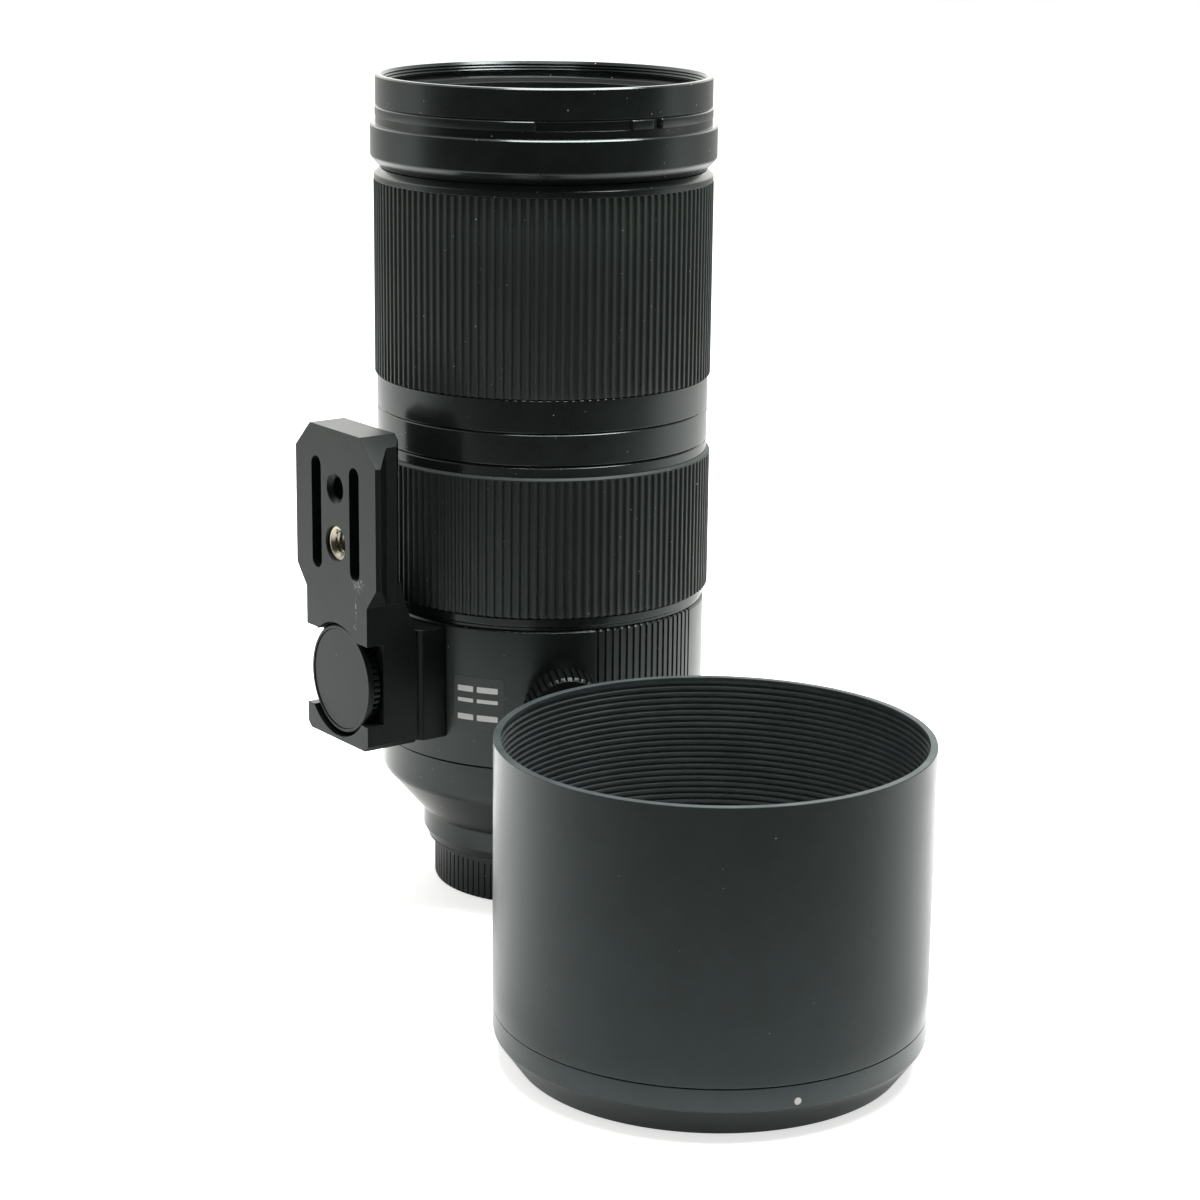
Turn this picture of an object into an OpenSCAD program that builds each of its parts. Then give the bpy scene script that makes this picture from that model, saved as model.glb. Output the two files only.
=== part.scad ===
// Camera zoom lens standing on its rear cap, with a tripod collar and foot, and its hood beside it.
// Millimetres, +Z up the optical axis. The origin is the centre of the rear cap's bottom face.
// The tripod foot points along -Y.

/* [Rear cap] */
// Height of the rear cap
cap_h = 11.3; // [9:0.1:14]
// Reach of the rear cap beyond the bayonet tube
cap_reach = 3.4; // [3:0.1:4.2]
// Wall of the rear cap
cap_wall = 1.3; // [1:0.1:1.5]
// Floor of the rear cap
cap_floor = 1.8; // [1:0.1:2.6]
// Number of grip flutes round the cap
cap_flutes = 96; // [48:1:120]

/* [Mount] */
// Outer radius of the bayonet tube
mount_r = 24.8; // [23:0.1:25.2]
// Wall of the bayonet tube
mount_wall = 1.8; // [1.2:0.1:2.4]
// Depth of the bayonet tube below the flange
mount_depth = 5.8; // [5:0.1:6.5]
// Reach of each bayonet lug beyond the tube
mount_lug = 1.5; // [1:0.1:1.6]
// Number of bayonet lugs
mount_lugs = 4; // [3:1:4]
// Reach of the mount flange beyond the bayonet tube
flange_reach = 4; // [3.4:0.1:4.4]
// Thickness of the mount flange
flange_t = 2.4; // [1.8:0.1:3]
// Number of mount screws
mount_screw_count = 6; // [4:1:8]

/* [Rear barrel] */
// Height of the tail from the mount flange to the cone
tail_h = 7.98; // [7:0.01:10]
// Step from the mount flange out to the tail
tail_step = 2.4; // [1.8:0.1:3.7]
// Chamfer at the foot of the tail
tail_chamfer = 1.2; // [0.6:0.1:1.4]
// Angle of the cone from the optical axis
cone_angle = 41; // [38:1:46]
// Radius of the rounded shoulder above the cone
shoulder_r = 4; // [2:0.5:6]
// Height of the straight band between the cone and the collar
rear_band_h = 8; // [6:0.5:9]

/* [Barrel] */
// Outer radius of the fixed barrel and of the collar
barrel_r = 42.4; // [42:0.1:44]
// Thickness of the tripod collar
collar_wall = 1.8; // [1.4:0.1:2]
// Length of the tripod collar
collar_h = 36.2; // [34:0.1:40]
// Length of the fixed lip between the collar and the focus ring
lip_h = 3.5; // [2.5:0.1:5]
// Length of the focus ring
focus_h = 38.5; // [34:0.5:44]
// Length of the fixed index band
index_h = 8.4; // [6:0.1:11]
// Length of the zoom ring
zoom_h = 60.6; // [58:0.1:68]
// Gap line between neighbouring rings
seam = 0.2; // [0.15:0.05:0.4]
// Running clearance between turning sleeves
run_gap = 0.2; // [0.15:0.05:0.3]

/* [Grips] */
// Height of the focus grip above the barrel
focus_grip_over = 1; // [0.7:0.1:2.2]
// Height of the zoom grip above the barrel
zoom_grip_over = 0.8; // [0.5:0.1:2.2]
// Thickness of the rubber
rubber_t = 1.2; // [1:0.1:1.4]
// Depth of the grooves in the rubber
groove_d = 0.6; // [0.3:0.1:0.8]
// Number of ribs round each grip
rib_count = 126; // [90:1:140]
// Share of the pitch that is rib on the focus grip
focus_rib_share = 0.4; // [0.25:0.05:0.6]
// Share of the pitch that is rib on the zoom grip
zoom_rib_share = 0.4; // [0.25:0.05:0.6]
// Length of the metal lip at the front of the focus ring
focus_lip_h = 2.7; // [2:0.1:4]
// Length of the plain skirt at the back of the zoom ring
zoom_skirt_h = 8.4; // [6:0.1:10]
// Length of the metal lip at the front of the zoom ring
zoom_lip_h = 3; // [2.6:0.1:4]

/* [Front ring] */
// Height of the front ring above the barrel
front_over = 1.6; // [1.2:0.1:3.1]
// Length of the front ring
front_h = 23; // [21:0.1:26]
// Step from the front ring down to the band that the hood slides over
band_step = 1.35; // [0.8:0.05:1.5]
// Length of that band
band_h = 7.8; // [6:0.1:9]
// Height of the hood groove under the band
groove_h = 4.4; // [3:0.1:5]
// Depth of the hood groove
hood_groove_d = 0.7; // [0.4:0.1:0.9]
// Wall of that band round the filter thread
band_wall = 2.05; // [1.75:0.05:2.6]
// Length of the filter thread
filter_h = 5; // [4:0.1:6]

/* [Zoom drive] */
// Travel of the front barrel from the short to the long end
zoom_travel = 72; // [60:1:74]
// Turn of the zoom ring over that travel
zoom_turn = 75; // [60:1:80]
// Travel of the variator group
variator_travel = 24; // [18:1:26]
// Travel of the iris group
iris_travel = 12; // [8:1:14]
// Length of the front tube left inside the guide tube at full travel
tube_overlap = 24; // [20:1:28]
// Wall of the cam, guide and front tubes
tube_wall = 1.1; // [0.9:0.1:1.2]
// Radius of a cam roller
roller_r = 1.4; // [1:0.1:1.6]

/* [Iris] */
// Number of iris blades
blade_count = 9; // [9:1:9]
// Width of the iris body from its outer wall to its full opening
iris_wall = 20.05; // [19.55:0.05:22.55]
// Turn of a blade from open to closed
blade_turn = 30; // [20:1:32]
// Turn of the iris ring over the same range
iris_turn = 24; // [20:1:28]
// Thickness of a blade
blade_t = 0.12; // [0.08:0.01:0.14]
// Height step from blade to blade
blade_step = 0.2; // [0.18:0.01:0.24]

/* [Focus drive] */
// Travel of the focus group
focus_travel = 7; // [4:0.5:7.5]
// Radius of the focus element
focus_lens_r = 12; // [9:0.5:13]
// Radius of the rear element
rear_lens_r = 13.4; // [11:0.1:14]

/* [Tripod collar] */
// Number of finger flutes in each patch
flute_count = 17; // [10:1:20]
// Angle between neighbouring flutes
flute_pitch = 2.75; // [2.5:0.05:3]
// Depth of a flute
flute_d = 0.5; // [0.3:0.1:0.7]
// Half width of the shoe on the collar
shoe_w = 15; // [14.5:0.1:16]
// Height of the shoe above the bottom of the collar
shoe_lift = 6.6; // [6.5:0.1:8]
// Length of the shoe
shoe_h = 28.9; // [27:0.1:31]
// Height of the shoe's outer face above the collar
shoe_t = 5.5; // [5:0.1:5.7]
// Height of the dovetail rail on the shoe
rail_t = 2.6; // [2:0.1:3]
// Half width of the rail at its narrow side
rail_w = 7; // [6:0.5:8]
// Direction of the collar lock knob round the axis
lock_angle = 332.5; // [325:0.5:340]
// Radius of the collar lock knob
lock_r = 10.4; // [9:0.1:11]
// Distance that the lock knob stands out from the collar
lock_h = 12.6; // [9:0.1:14]
// Number of grip teeth on the lock knob
lock_teeth = 36; // [24:1:40]

/* [Tripod foot] */
// Thickness of the foot round the knob
foot_t = 14.7; // [13.6:0.1:16.6]
// Half width of the plate
plate_w = 19; // [18:0.1:20.5]
// Half width of the foot round the knob
waist_w = 14.5; // [14.2:0.1:14.8]
// Half width of the narrow side of the plate
plate_narrow_w = 14.8; // [14.2:0.1:15.8]
// Thickness of the plate
plate_t = 10.2; // [9.2:0.1:10.7]
// Thickness of the plate's sharp outer edge
plate_lip = 1.6; // [1:0.1:2.2]
// Length of the foot
foot_len = 80; // [79:0.5:84]
// Height of the foot's bottom above the collar's bottom
foot_lift = 6; // [5.5:0.5:6]
// Length of the neck that runs from the plate's back down to the shoe's side
neck_h = 17; // [12:0.5:18]
// Length of the wide plate
plate_len = 37.3; // [36:0.1:40]
// Width of the corner chamfers
corner_x = 7.1; // [5:0.1:9]
// Height of the corner chamfers
corner_z = 6.8; // [5:0.1:8]
// Distance from the optical centre line of the foot to each slot
slot_x = 9; // [8:0.1:10.5]
// Width of a slot
slot_w = 4.5; // [3:0.1:5]
// Length of a slot
slot_len = 28.7; // [24:0.1:30]
// Depth of a slot
slot_d = 5; // [3:0.5:6]
// Radius of the locating hole
pin_hole_r = 2.75; // [2:0.05:3]
// Depth of the locating hole
pin_hole_d = 6; // [4:0.5:7]
// Radius inside the tripod thread
thread_r = 2.6; // [2.5:0.05:3]
// Outer radius of the threaded insert
insert_r = 4.3; // [4:0.1:4.8]
// Depth of the insert's face below the foot's face
insert_drop = 0.8; // [0.4:0.1:1.2]
// Length of the threaded insert
insert_h = 7; // [5:0.5:8]
// Radius of the clamp knob
knob_r = 14.2; // [13.6:0.1:14.6]
// Thickness of the clamp knob
knob_t = 3.6; // [3.4:0.1:4]
// Thickness of the plain flange at the front of the clamp knob
knob_flange = 1.4; // [1.1:0.1:1.8]
// Height of the window's top above the knob's centre
window_up = 11.6; // [10.5:0.1:12]
// Depth of the window's bottom below the knob's centre
window_down = 9.2; // [8:0.1:10.5]
// Number of grip teeth on the clamp knob
knob_teeth = 54; // [36:1:60]
// Radius of the inset disc in the knob
knob_disc_r = 12.9; // [11:0.1:12.9]
// Radius of the clamp screw
clamp_r = 3; // [2:0.1:4]

/* [Hood] */
// Reach of the hood's outside beyond its socket
hood_flare = 6.85; // [5.65:0.05:9.15]
// Height of the hood
hood_h = 75.8; // [60:0.2:90]
// Wall of the hood
hood_wall = 1.7; // [1.2:0.1:2.2]
// Height of the hood's mount ring
hood_ring_h = 12.3; // [11:0.1:14]
// Height of the chamfer under the mount ring
hood_chamfer_h = 7.2; // [5:0.1:8]
// Width of the hood's bottom edge round its socket
hood_lip = 1.55; // [1.45:0.05:2.15]
// Clearance between the hood's socket and the front band
hood_fit = 0.2; // [0.1:0.05:0.3]
// Height of one light-trap rib inside the hood
hood_rib = 1.5; // [1:0.1:3]
// Gap between the front ring and the hood, seen from above
hood_gap = 36.1; // [31.1:0.1:56.1]
// Direction of the hood from the lens
hood_angle = 342.5; // [338:0.5:360]

/* [Hidden] */
$fn = 96;
eps = 0.05;
snug = 0.04;
z_flange = cap_h + seam;
flange_r = mount_r + flange_reach;
cap_r = mount_r + cap_reach;
tail_r = flange_r + tail_step;
rear_top_r = barrel_r - 0.4;
cone_top_r = rear_top_r - shoulder_r + shoulder_r * cos(cone_angle);
z_tail = z_flange + tail_h;
cone_top_z = z_tail + (cone_top_r - tail_r) / tan(cone_angle);
z_shoulder = cone_top_z + shoulder_r * sin(cone_angle);
z_col0 = z_shoulder + rear_band_h;
focus_grip_r = barrel_r + focus_grip_over;
zoom_grip_r = barrel_r + zoom_grip_over;
front_r = barrel_r + front_over;
band_r = front_r - band_step;
filter_r = band_r - band_wall;
shoe_r = barrel_r + shoe_t;
foot_r = shoe_r + run_gap + foot_t;
z_col1 = z_col0 + collar_h;
z_foc0 = z_col1 + lip_h;
z_foc1 = z_foc0 + focus_h;
z_zoom0 = z_foc1 + index_h;
z_zoom1 = z_zoom0 + zoom_h;
z_front0 = z_zoom1 + seam;
z_front1 = z_front0 + front_h;
z_seat = z_flange + flange_t;
rear_wall = 1.7;
collar_in = barrel_r - collar_wall;
main_out = collar_in - run_gap;
main_in = main_out - 1.05;
cam_out = main_in - run_gap;
cam_in = cam_out - tube_wall;
guide_out = cam_in - run_gap;
guide_in = guide_out - tube_wall;
tube_out = guide_in - run_gap;
tube_in = tube_out - tube_wall;
cell_r = guide_in - run_gap;
iris_r = cell_r - iris_wall;
variator_lens_r = iris_r - 1.04;
relay_lens_r = iris_r - 2.34;
focus_sleeve_r = focus_grip_r - rubber_t;
focus_in = focus_sleeve_r - 0.7;
zoom_sleeve_r = zoom_grip_r - rubber_t;
web_z = z_col0 + 1;
web_t = 2;
rod_at = mount_r - 3.8;
web_in = rod_at + 5;
z_guide0 = web_z + web_t;
z_guide1 = z_zoom1 - 3.2;
z_cam0 = z_guide0 + 2.6;
z_cam1 = z_guide1 - 1.6;
z_tube0 = z_guide1 - zoom_travel - tube_overlap;
front_roller_z = z_tube0 + 4;
variator_h = 12;
z_var0 = z_tube0 - 3.5 - variator_h;
variator_roller_z = z_var0 + variator_h / 2;
iris_h = 19;
z_iris0 = z_var0 - 2.5 - iris_h;
iris_roller_z = z_iris0 + 4.4;
front_roller_at = [90, 210, 330];
inner_roller_at = [180, 300, 60];
slot_gap = 0.25;
iris_plate_z = z_iris0 + 13;
blade_z = iris_plate_z + 1.2;
blade_stack = blade_count * blade_step;
iris_ring_z = blade_z + blade_stack + 0.15;
pivot_r = iris_r + 8.7;
blade_pin_gap = 4;
blade_pin_r = 0.5;
blade_ratio = blade_turn / iris_turn;
z_rear_cell = z_seat + 3;
rod_r = 1.2;
z_focus = z_rear_cell + 12.5;
focus_cell_h = 4;
focus_cell_r = focus_lens_r + 3;
screw_r = 1;
motor_h = 8;
foot_z0 = z_col0 + foot_lift;
foot_z1 = foot_z0 + foot_len;
plate_z0 = foot_z1 - plate_len;
waist_z = plate_z0 - 1.2 * (plate_w - waist_w);
shoe_z0 = z_col0 + shoe_lift;
shoe_z1 = shoe_z0 + shoe_h;
knob_z = foot_z0 + 15.8;
knob_face = foot_r - 0.95;
knob_back = knob_face - knob_t;
body_r = shoe_r + run_gap;
rail_out = shoe_r + rail_t;
insert_z = plate_z0 + 8.4;
pin_hole_z = insert_z + 14;
slot_z0 = plate_z0 + 0.5;
lock_z = z_col0 + 17.3;
lock_in = barrel_r + 0.6;
lock_out = barrel_r + lock_h;
flute_mid = [6.5, 173.5];
front_edge_r = front_r - 2.5;
z_ring_top = z_front1 - band_h - groove_h;
groove_r = band_r - hood_groove_d;
lens_r = filter_r - 4;
z_lens = z_front1 - filter_h - 2.2;
lens_curve = 150;
lens_edge_z = z_lens - lens_curve + sqrt(lens_curve * lens_curve - lens_r * lens_r) + 0.3;
doublet_r = tube_in - 2.4;
hood_socket_r = band_r + hood_fit;
hood_r = hood_socket_r + hood_flare;
hood_base_r = hood_socket_r + hood_lip;
hood_dist = front_r + hood_gap + hood_r;
hood_x = hood_dist * cos(hood_angle);
hood_y = hood_dist * sin(hood_angle);
hood_in = hood_r - hood_wall;

BLADES = [for (i = [1 : blade_count]) str("iris_blade_", i)];

metal = [0.13, 0.14, 0.14];
dark = [0.07, 0.07, 0.075];
rubber = [0.11, 0.12, 0.12];
steel = [0.72, 0.71, 0.68];
brass = [0.8, 0.66, 0.36];
glass = [0.72, 0.82, 0.86, 0.6];
charcoal = [0.18, 0.2, 0.21];

// Solid of revolution about Z from radius and height pairs
module lathe(points) {
    rotate_extrude() polygon(points);
}

// Plain tube between two radii and two heights
module tube(r_out, r_in, z0, z1) {
    lathe([[r_in, z0], [r_out, z0], [r_out, z1], [r_in, z1]]);
}

// Part of a ring from angle a0 over the given span
module sector(r_in, r_out, z0, z1, a0, span) {
    rotate([0, 0, a0])
        rotate_extrude(angle = span)
            polygon([[r_in, z0], [r_out, z0], [r_out, z1], [r_in, z1]]);
}

// Flat star that leaves the lands untouched and cuts flutes down to the floor radius
module star(r_floor, r_over, count, land, wall = 0.85) {
    step = 360 / count;
    side = (1 - land) * (1 - wall) / 2;
    polygon([for (i = [0 : count - 1]) for (p = [
        [r_over, -land / 2], [r_over, land / 2],
        [r_floor, land / 2 + side], [r_floor, 1 - land / 2 - side]])
        [p[0] * cos((i + p[1]) * step), p[0] * sin((i + p[1]) * step)]]);
}

// Radial cylinder pointing outwards at an angle and height
module spoke(angle, z, r0, r1, r) {
    rotate([0, 0, angle])
        translate([r0, 0, z])
            rotate([0, 90, 0])
                cylinder(r = r, h = r1 - r0);
}

// Cylinder along -Y between two distances from the optical axis
module outward(x, z, d0, d1, r) {
    translate([x, -d0, z])
        rotate([90, 0, 0])
            cylinder(r = r, h = d1 - d0);
}

// Depth of a curved surface at a radius
function sag(r, curve) = curve - sqrt(curve * curve - r * r);

// Glass element: a disc between a convex front and a convex back
module element(r, z_front, z_back, front_curve, back_curve) {
    steps = 10;
    lathe(concat([for (i = [0 : steps]) [r * i / steps, z_back + sag(r * i / steps, back_curve)]],
        [for (i = [steps : -1 : 0]) [r * i / steps, z_front - sag(r * i / steps, front_curve)]]));
}

// Helical slot through the cam sleeve for a roller that climbs while the sleeve turns
module cam_slot(at, z, climb) {
    steps = 24;
    r_mid = (cam_out + cam_in) / 2;
    slope = climb / (r_mid * zoom_turn * PI / 180);
    half = (roller_r + slot_gap) * sqrt(1 + slope * slope);
    margin = (roller_r + slot_gap) / r_mid * 180 / PI;
    span = zoom_turn + 2 * margin;
    z_start = z - climb * margin / zoom_turn;
    rise = climb * span / zoom_turn;
    pts = [for (i = [0 : steps]) let (a = at + margin - span * i / steps, h = z_start + rise * i / steps)
        for (p = [[cam_in - 1, -half], [cam_out + 1, -half], [cam_out + 1, half], [cam_in - 1, half]])
            [p[0] * cos(a), p[0] * sin(a), h + p[1]]];
    walls = [for (i = [0 : steps - 1]) for (k = [0 : 3])
        let (a = 4 * i + k, b = 4 * i + (k + 1) % 4)
            for (f = [[a, a + 4, b], [b, a + 4, b + 4]]) f];
    polyhedron(points = pts, faces = concat([[0, 1, 2], [0, 2, 3]], walls,
        [[4 * steps, 4 * steps + 2, 4 * steps + 1], [4 * steps, 4 * steps + 3, 4 * steps + 2]]));
}

// Straight slot through the guide tube
module guide_slot(at, z0, z1) {
    w = roller_r + slot_gap;
    rotate([0, 0, at])
        translate([guide_in - 1, -w, z0 - w])
            cube([tube_wall + 2, 2 * w, z1 - z0 + 2 * w]);
}

// Three rollers of a moving group
module rollers(at, z, r0) {
    for (a = at) spoke(a, z, r0, cam_out - 0.15, roller_r);
}

module rear_cap() {
    claw_z = z_flange - mount_depth + 2.2;
    color(dark) {
        intersection() {
            union() {
                lathe([[0, 0], [cap_r - 0.5, 0], [cap_r, 0.5], [cap_r, cap_h],
                    [cap_r - cap_wall, cap_h], [cap_r - cap_wall, cap_floor], [0, cap_floor]]);
                for (i = [0 : mount_lugs - 1])
                    sector(mount_r + run_gap, cap_r - cap_wall + 0.1, claw_z, claw_z + 1.6,
                        i * 360 / mount_lugs - 15, 30);
            }
            union() {
                linear_extrude(cap_h - 1.2) star(cap_r - 0.4, cap_r + 2, cap_flutes, 0.68);
                translate([0, 0, cap_h - 1.3]) cylinder(r = cap_r + 2, h = 2);
            }
        }
    }
}

module mount_bayonet() {
    lug_z = z_flange - mount_depth;
    color(steel)
        difference() {
            union() {
                lathe([[mount_r - mount_wall, lug_z], [mount_r, lug_z], [mount_r, z_flange],
                    [flange_r, z_flange], [flange_r, z_seat], [mount_r - mount_wall, z_seat]]);
                for (i = [0 : mount_lugs - 1])
                    sector(mount_r - 0.6, mount_r + mount_lug, lug_z + 0.2, lug_z + 1.6,
                        i * 360 / mount_lugs - 18, 36);
            }
            for (i = [0 : mount_screw_count - 1])
                rotate([0, 0, 20 + i * 360 / mount_screw_count])
                    translate([flange_r - 2, 0, z_flange - eps]) {
                        cylinder(r = 0.9, h = flange_t + 1);
                        cylinder(r1 = 1.7, r2 = 0.5, h = 1.2);
                    }
        }
}

module mount_screws() {
    color(steel)
        for (i = [0 : mount_screw_count - 1])
            rotate([0, 0, 20 + i * 360 / mount_screw_count])
                translate([flange_r - 2, 0, z_flange + 0.05]) {
                    cylinder(r = 0.8, h = flange_t + 2.4);
                    cylinder(r1 = 1.5, r2 = 0.8, h = 0.8);
                }
}

module mount_seal() {
    color(rubber) tube(tail_r - tail_chamfer - 0.1, flange_r + snug, z_flange + 0.05, z_flange + 0.55);
}

module contact_block() {
    color(dark)
        sector(mount_r - mount_wall - 4.2, mount_r - mount_wall - snug, z_flange - 5, z_seat, 240, 60);
}

module contact_pins() {
    color(brass)
        for (i = [0 : 9])
            rotate([0, 0, 247.5 + 5 * i])
                translate([mount_r - mount_wall - 2.1, 0, z_flange - 5.5])
                    cylinder(r = 0.6, h = 0.5);
}

module rear_barrel() {
    arc = [for (i = [0 : 6]) let (a = -cone_angle + cone_angle * i / 6)
        [rear_top_r - shoulder_r + shoulder_r * cos(a), z_shoulder + shoulder_r * sin(a)]];
    in_r = main_out + snug;
    color(metal)
        difference() {
            lathe(concat(
                [[tail_r - tail_chamfer, z_flange + 0.6], [tail_r, z_flange + 2.9], [tail_r, z_tail]], arc,
                [[rear_top_r, z_col0 - seam], [in_r, z_col0 - seam], [in_r, z_shoulder - 0.5],
                    [cone_top_r - 2.3, cone_top_z + 0.4], [tail_r - rear_wall, z_tail + 0.8],
                    [tail_r - rear_wall, z_rear_cell], [mount_r - mount_wall + 0.3, z_rear_cell],
                    [mount_r - mount_wall + 0.3, z_seat], [flange_r + snug, z_seat],
                    [flange_r + snug, z_flange + 0.6]]));
            for (i = [0 : mount_screw_count - 1])
                rotate([0, 0, 20 + i * 360 / mount_screw_count])
                    translate([flange_r - 2, 0, z_seat - 1])
                        cylinder(r = 0.84, h = 3.5);
        }
}

module main_barrel() {
    under_focus = focus_in - run_gap;
    color(metal)
        lathe([[web_in, web_z], [main_in, web_z], [main_in, z_col0 - 4], [main_out, z_col0 - 4],
            [main_out, z_col1 + seam], [barrel_r, z_col1 + seam], [barrel_r, z_foc0 - seam],
            [under_focus, z_foc0 - seam], [under_focus, z_foc1 + 3], [main_in, z_foc1 + 3],
            [main_in, z_guide0], [web_in, z_guide0]]);
}

module index_ring() {
    under_focus = focus_in - run_gap;
    r = barrel_r + 0.2;
    color(metal)
        lathe([[under_focus + snug, z_foc1 + seam], [r - 0.25, z_foc1 + seam], [r, z_foc1 + seam + 0.25],
            [r, z_zoom0 - 0.15], [main_in, z_zoom0 - 0.15], [main_in, z_foc1 + 3 + snug],
            [under_focus + snug, z_foc1 + 3 + snug]]);
}

module guide_tube() {
    color(metal)
        difference() {
            lathe([[guide_in, z_guide0], [main_in - snug, z_guide0], [main_in - snug, z_guide0 + 1.8],
                [guide_out, z_guide0 + 1.8], [guide_out, z_guide1], [guide_in, z_guide1]]);
            for (a = front_roller_at) guide_slot(a, front_roller_z, front_roller_z + zoom_travel);
            for (a = inner_roller_at) guide_slot(a, variator_roller_z, variator_roller_z + variator_travel);
            for (a = inner_roller_at) guide_slot(a, iris_roller_z, iris_roller_z + iris_travel);
        }
}

module rear_cell() {
    r = mount_r - mount_wall + 2.5;
    lip = rear_lens_r - 1;
    seat = rear_lens_r + 0.1;
    out = rear_lens_r + 1.6;
    color(dark)
        difference() {
            lathe([[lip, z_seat - 2], [out, z_seat - 2], [out, z_rear_cell], [r, z_rear_cell],
                [r, z_rear_cell + 1.6], [out, z_rear_cell + 1.6], [out, z_rear_cell + 4],
                [seat, z_rear_cell + 4], [seat, z_seat], [lip, z_seat]]);
            for (s = [-1, 1]) translate([s * rod_at, 0, z_rear_cell + 0.8]) cylinder(r = rod_r + snug, h = 3);
            translate([0, rod_at, z_rear_cell - eps]) cylinder(r = 2, h = 3);
        }
}

module rear_lens() {
    color(glass) element(rear_lens_r, z_rear_cell + 3.5, z_seat, 4.5 * rear_lens_r, 6 * rear_lens_r);
}

module focus_rods() {
    color(steel)
        for (s = [-1, 1])
            translate([s * rod_at, 0, z_rear_cell + 0.8])
                cylinder(r = rod_r, h = web_z - z_rear_cell - 0.8 - 0.02);
}

module focus_motor() {
    color(steel)
        translate([0, rod_at, z_rear_cell + 1.62])
            difference() {
                cylinder(r = 4, h = motor_h);
                translate([0, 0, motor_h - 3]) cylinder(r = screw_r + 0.08, h = 4);
            }
}

module focus_screw() {
    color(steel)
        translate([0, rod_at, z_rear_cell + motor_h - 1.2])
            cylinder(r = screw_r, h = web_z - z_rear_cell - motor_h + 0.9);
}

module focus_cell() {
    color(dark)
        difference() {
            union() {
                tube(focus_cell_r, focus_lens_r - 1, z_focus, z_focus + focus_cell_h);
                for (a = [0, 90, 180])
                    rotate([0, 0, a])
                        translate([focus_cell_r - 1.5, -3, z_focus])
                            cube([rod_at + 3 - focus_cell_r + 1.5, 6, focus_cell_h]);
            }
            translate([0, 0, z_focus + 1]) cylinder(r = focus_lens_r + snug, h = focus_cell_h);
            for (s = [-1, 1]) translate([s * rod_at, 0, z_focus - 1]) cylinder(r = rod_r + 0.08, h = 9);
            translate([0, rod_at, z_focus - 1]) cylinder(r = screw_r + 0.08, h = 9);
        }
}

module focus_lens() {
    color(glass) element(focus_lens_r, z_focus + focus_cell_h - 0.4, z_focus + 1,
        6 * focus_lens_r, 33 * focus_lens_r);
}

module main_board() {
    color([0.1, 0.28, 0.16]) tube(main_in - 1.5, rod_at + 6, web_z - 1.6, web_z);
}

module collar_ring() {
    color(metal)
        difference() {
            lathe([[collar_in, z_col0], [barrel_r - 0.3, z_col0], [barrel_r, z_col0 + 0.3],
                [barrel_r, z_col1 - 0.3], [barrel_r - 0.3, z_col1], [collar_in, z_col1]]);
            for (m = flute_mid) for (i = [0 : flute_count - 1])
                rotate([0, 0, m + (i - (flute_count - 1) / 2) * flute_pitch])
                    translate([barrel_r - flute_d, -0.35, z_col0 - 1])
                        cube([3, 0.7, collar_h + 2]);
            spoke(lock_angle, lock_z, collar_in - 2, barrel_r + 2, 2 + snug);
        }
}

module collar_shoe() {
    c = 1.2;
    color(metal)
        difference() {
            union() {
                translate([0, 0, shoe_z0])
                    linear_extrude(shoe_h)
                        polygon([[-shoe_w, -30], [-shoe_w, -shoe_r + c], [-shoe_w + c, -shoe_r],
                            [shoe_w - c, -shoe_r], [shoe_w, -shoe_r + c], [shoe_w, -30]]);
                translate([0, 0, shoe_z0])
                    linear_extrude(shoe_h)
                        polygon([[-rail_w, -shoe_r + 1], [-rail_w, -shoe_r],
                            [-rail_w - rail_t * 0.7, -rail_out], [rail_w + rail_t * 0.7, -rail_out],
                            [rail_w, -shoe_r], [rail_w, -shoe_r + 1]]);
            }
            translate([0, 0, shoe_z0 - 1]) cylinder(r = barrel_r + snug, h = shoe_h + 2);
        }
}

module lock_knob() {
    lock_len = lock_out - lock_in;
    color(dark)
        rotate([0, 0, lock_angle])
            translate([lock_in, 0, lock_z])
                rotate([0, 90, 0])
                    difference() {
                        intersection() {
                            lathe([[0, 0], [lock_r - 1.6, 0], [lock_r, 2.4], [lock_r, lock_len - 0.8],
                                [lock_r - 0.8, lock_len], [0, lock_len]]);
                            linear_extrude(lock_len + 1) star(lock_r - 0.7, lock_r + 2, lock_teeth, 0.5, 0.7);
                        }
                        translate([0, 0, lock_len - 1.2]) cylinder(r = lock_r - 2.4, h = 4);
                        translate([0, 0, -eps]) cylinder(r = 2 + snug, h = 6);
                    }
}

module lock_cap() {
    color(metal) spoke(lock_angle, lock_z, lock_out - 1.2, lock_out - 0.3, lock_r - 2.4 - snug);
}

module lock_screw() {
    color(steel) spoke(lock_angle, lock_z, collar_in + 0.1, lock_in + 5.9, 1.95);
}

// Outline of the foot seen from outside, across and up
module foot_outline() {
    c = 1.5;
    polygon([[-waist_w, foot_z0 + c], [-waist_w + c, foot_z0], [waist_w - c, foot_z0], [waist_w, foot_z0 + c],
        [waist_w, waist_z], [plate_w, plate_z0], [plate_w, foot_z1 - corner_z], [plate_w - corner_x, foot_z1],
        [-plate_w + corner_x, foot_z1], [-plate_w, foot_z1 - corner_z], [-plate_w, plate_z0],
        [-waist_w, waist_z]]);
}

// Section of the wide plate seen along the optical axis
module plate_section() {
    y0 = -foot_r;
    y1 = -foot_r + plate_lip;
    y2 = y1 + (plate_w - plate_narrow_w);
    y3 = -foot_r + plate_t;
    c = 1.4;
    w = plate_narrow_w;
    polygon([[-plate_w, y0], [plate_w, y0], [plate_w, y1], [w, y2], [w, y3 - c], [w - c, y3],
        [-w + c, y3], [-w, y3 - c], [-w, y2], [-plate_w, y1]]);
}

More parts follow.
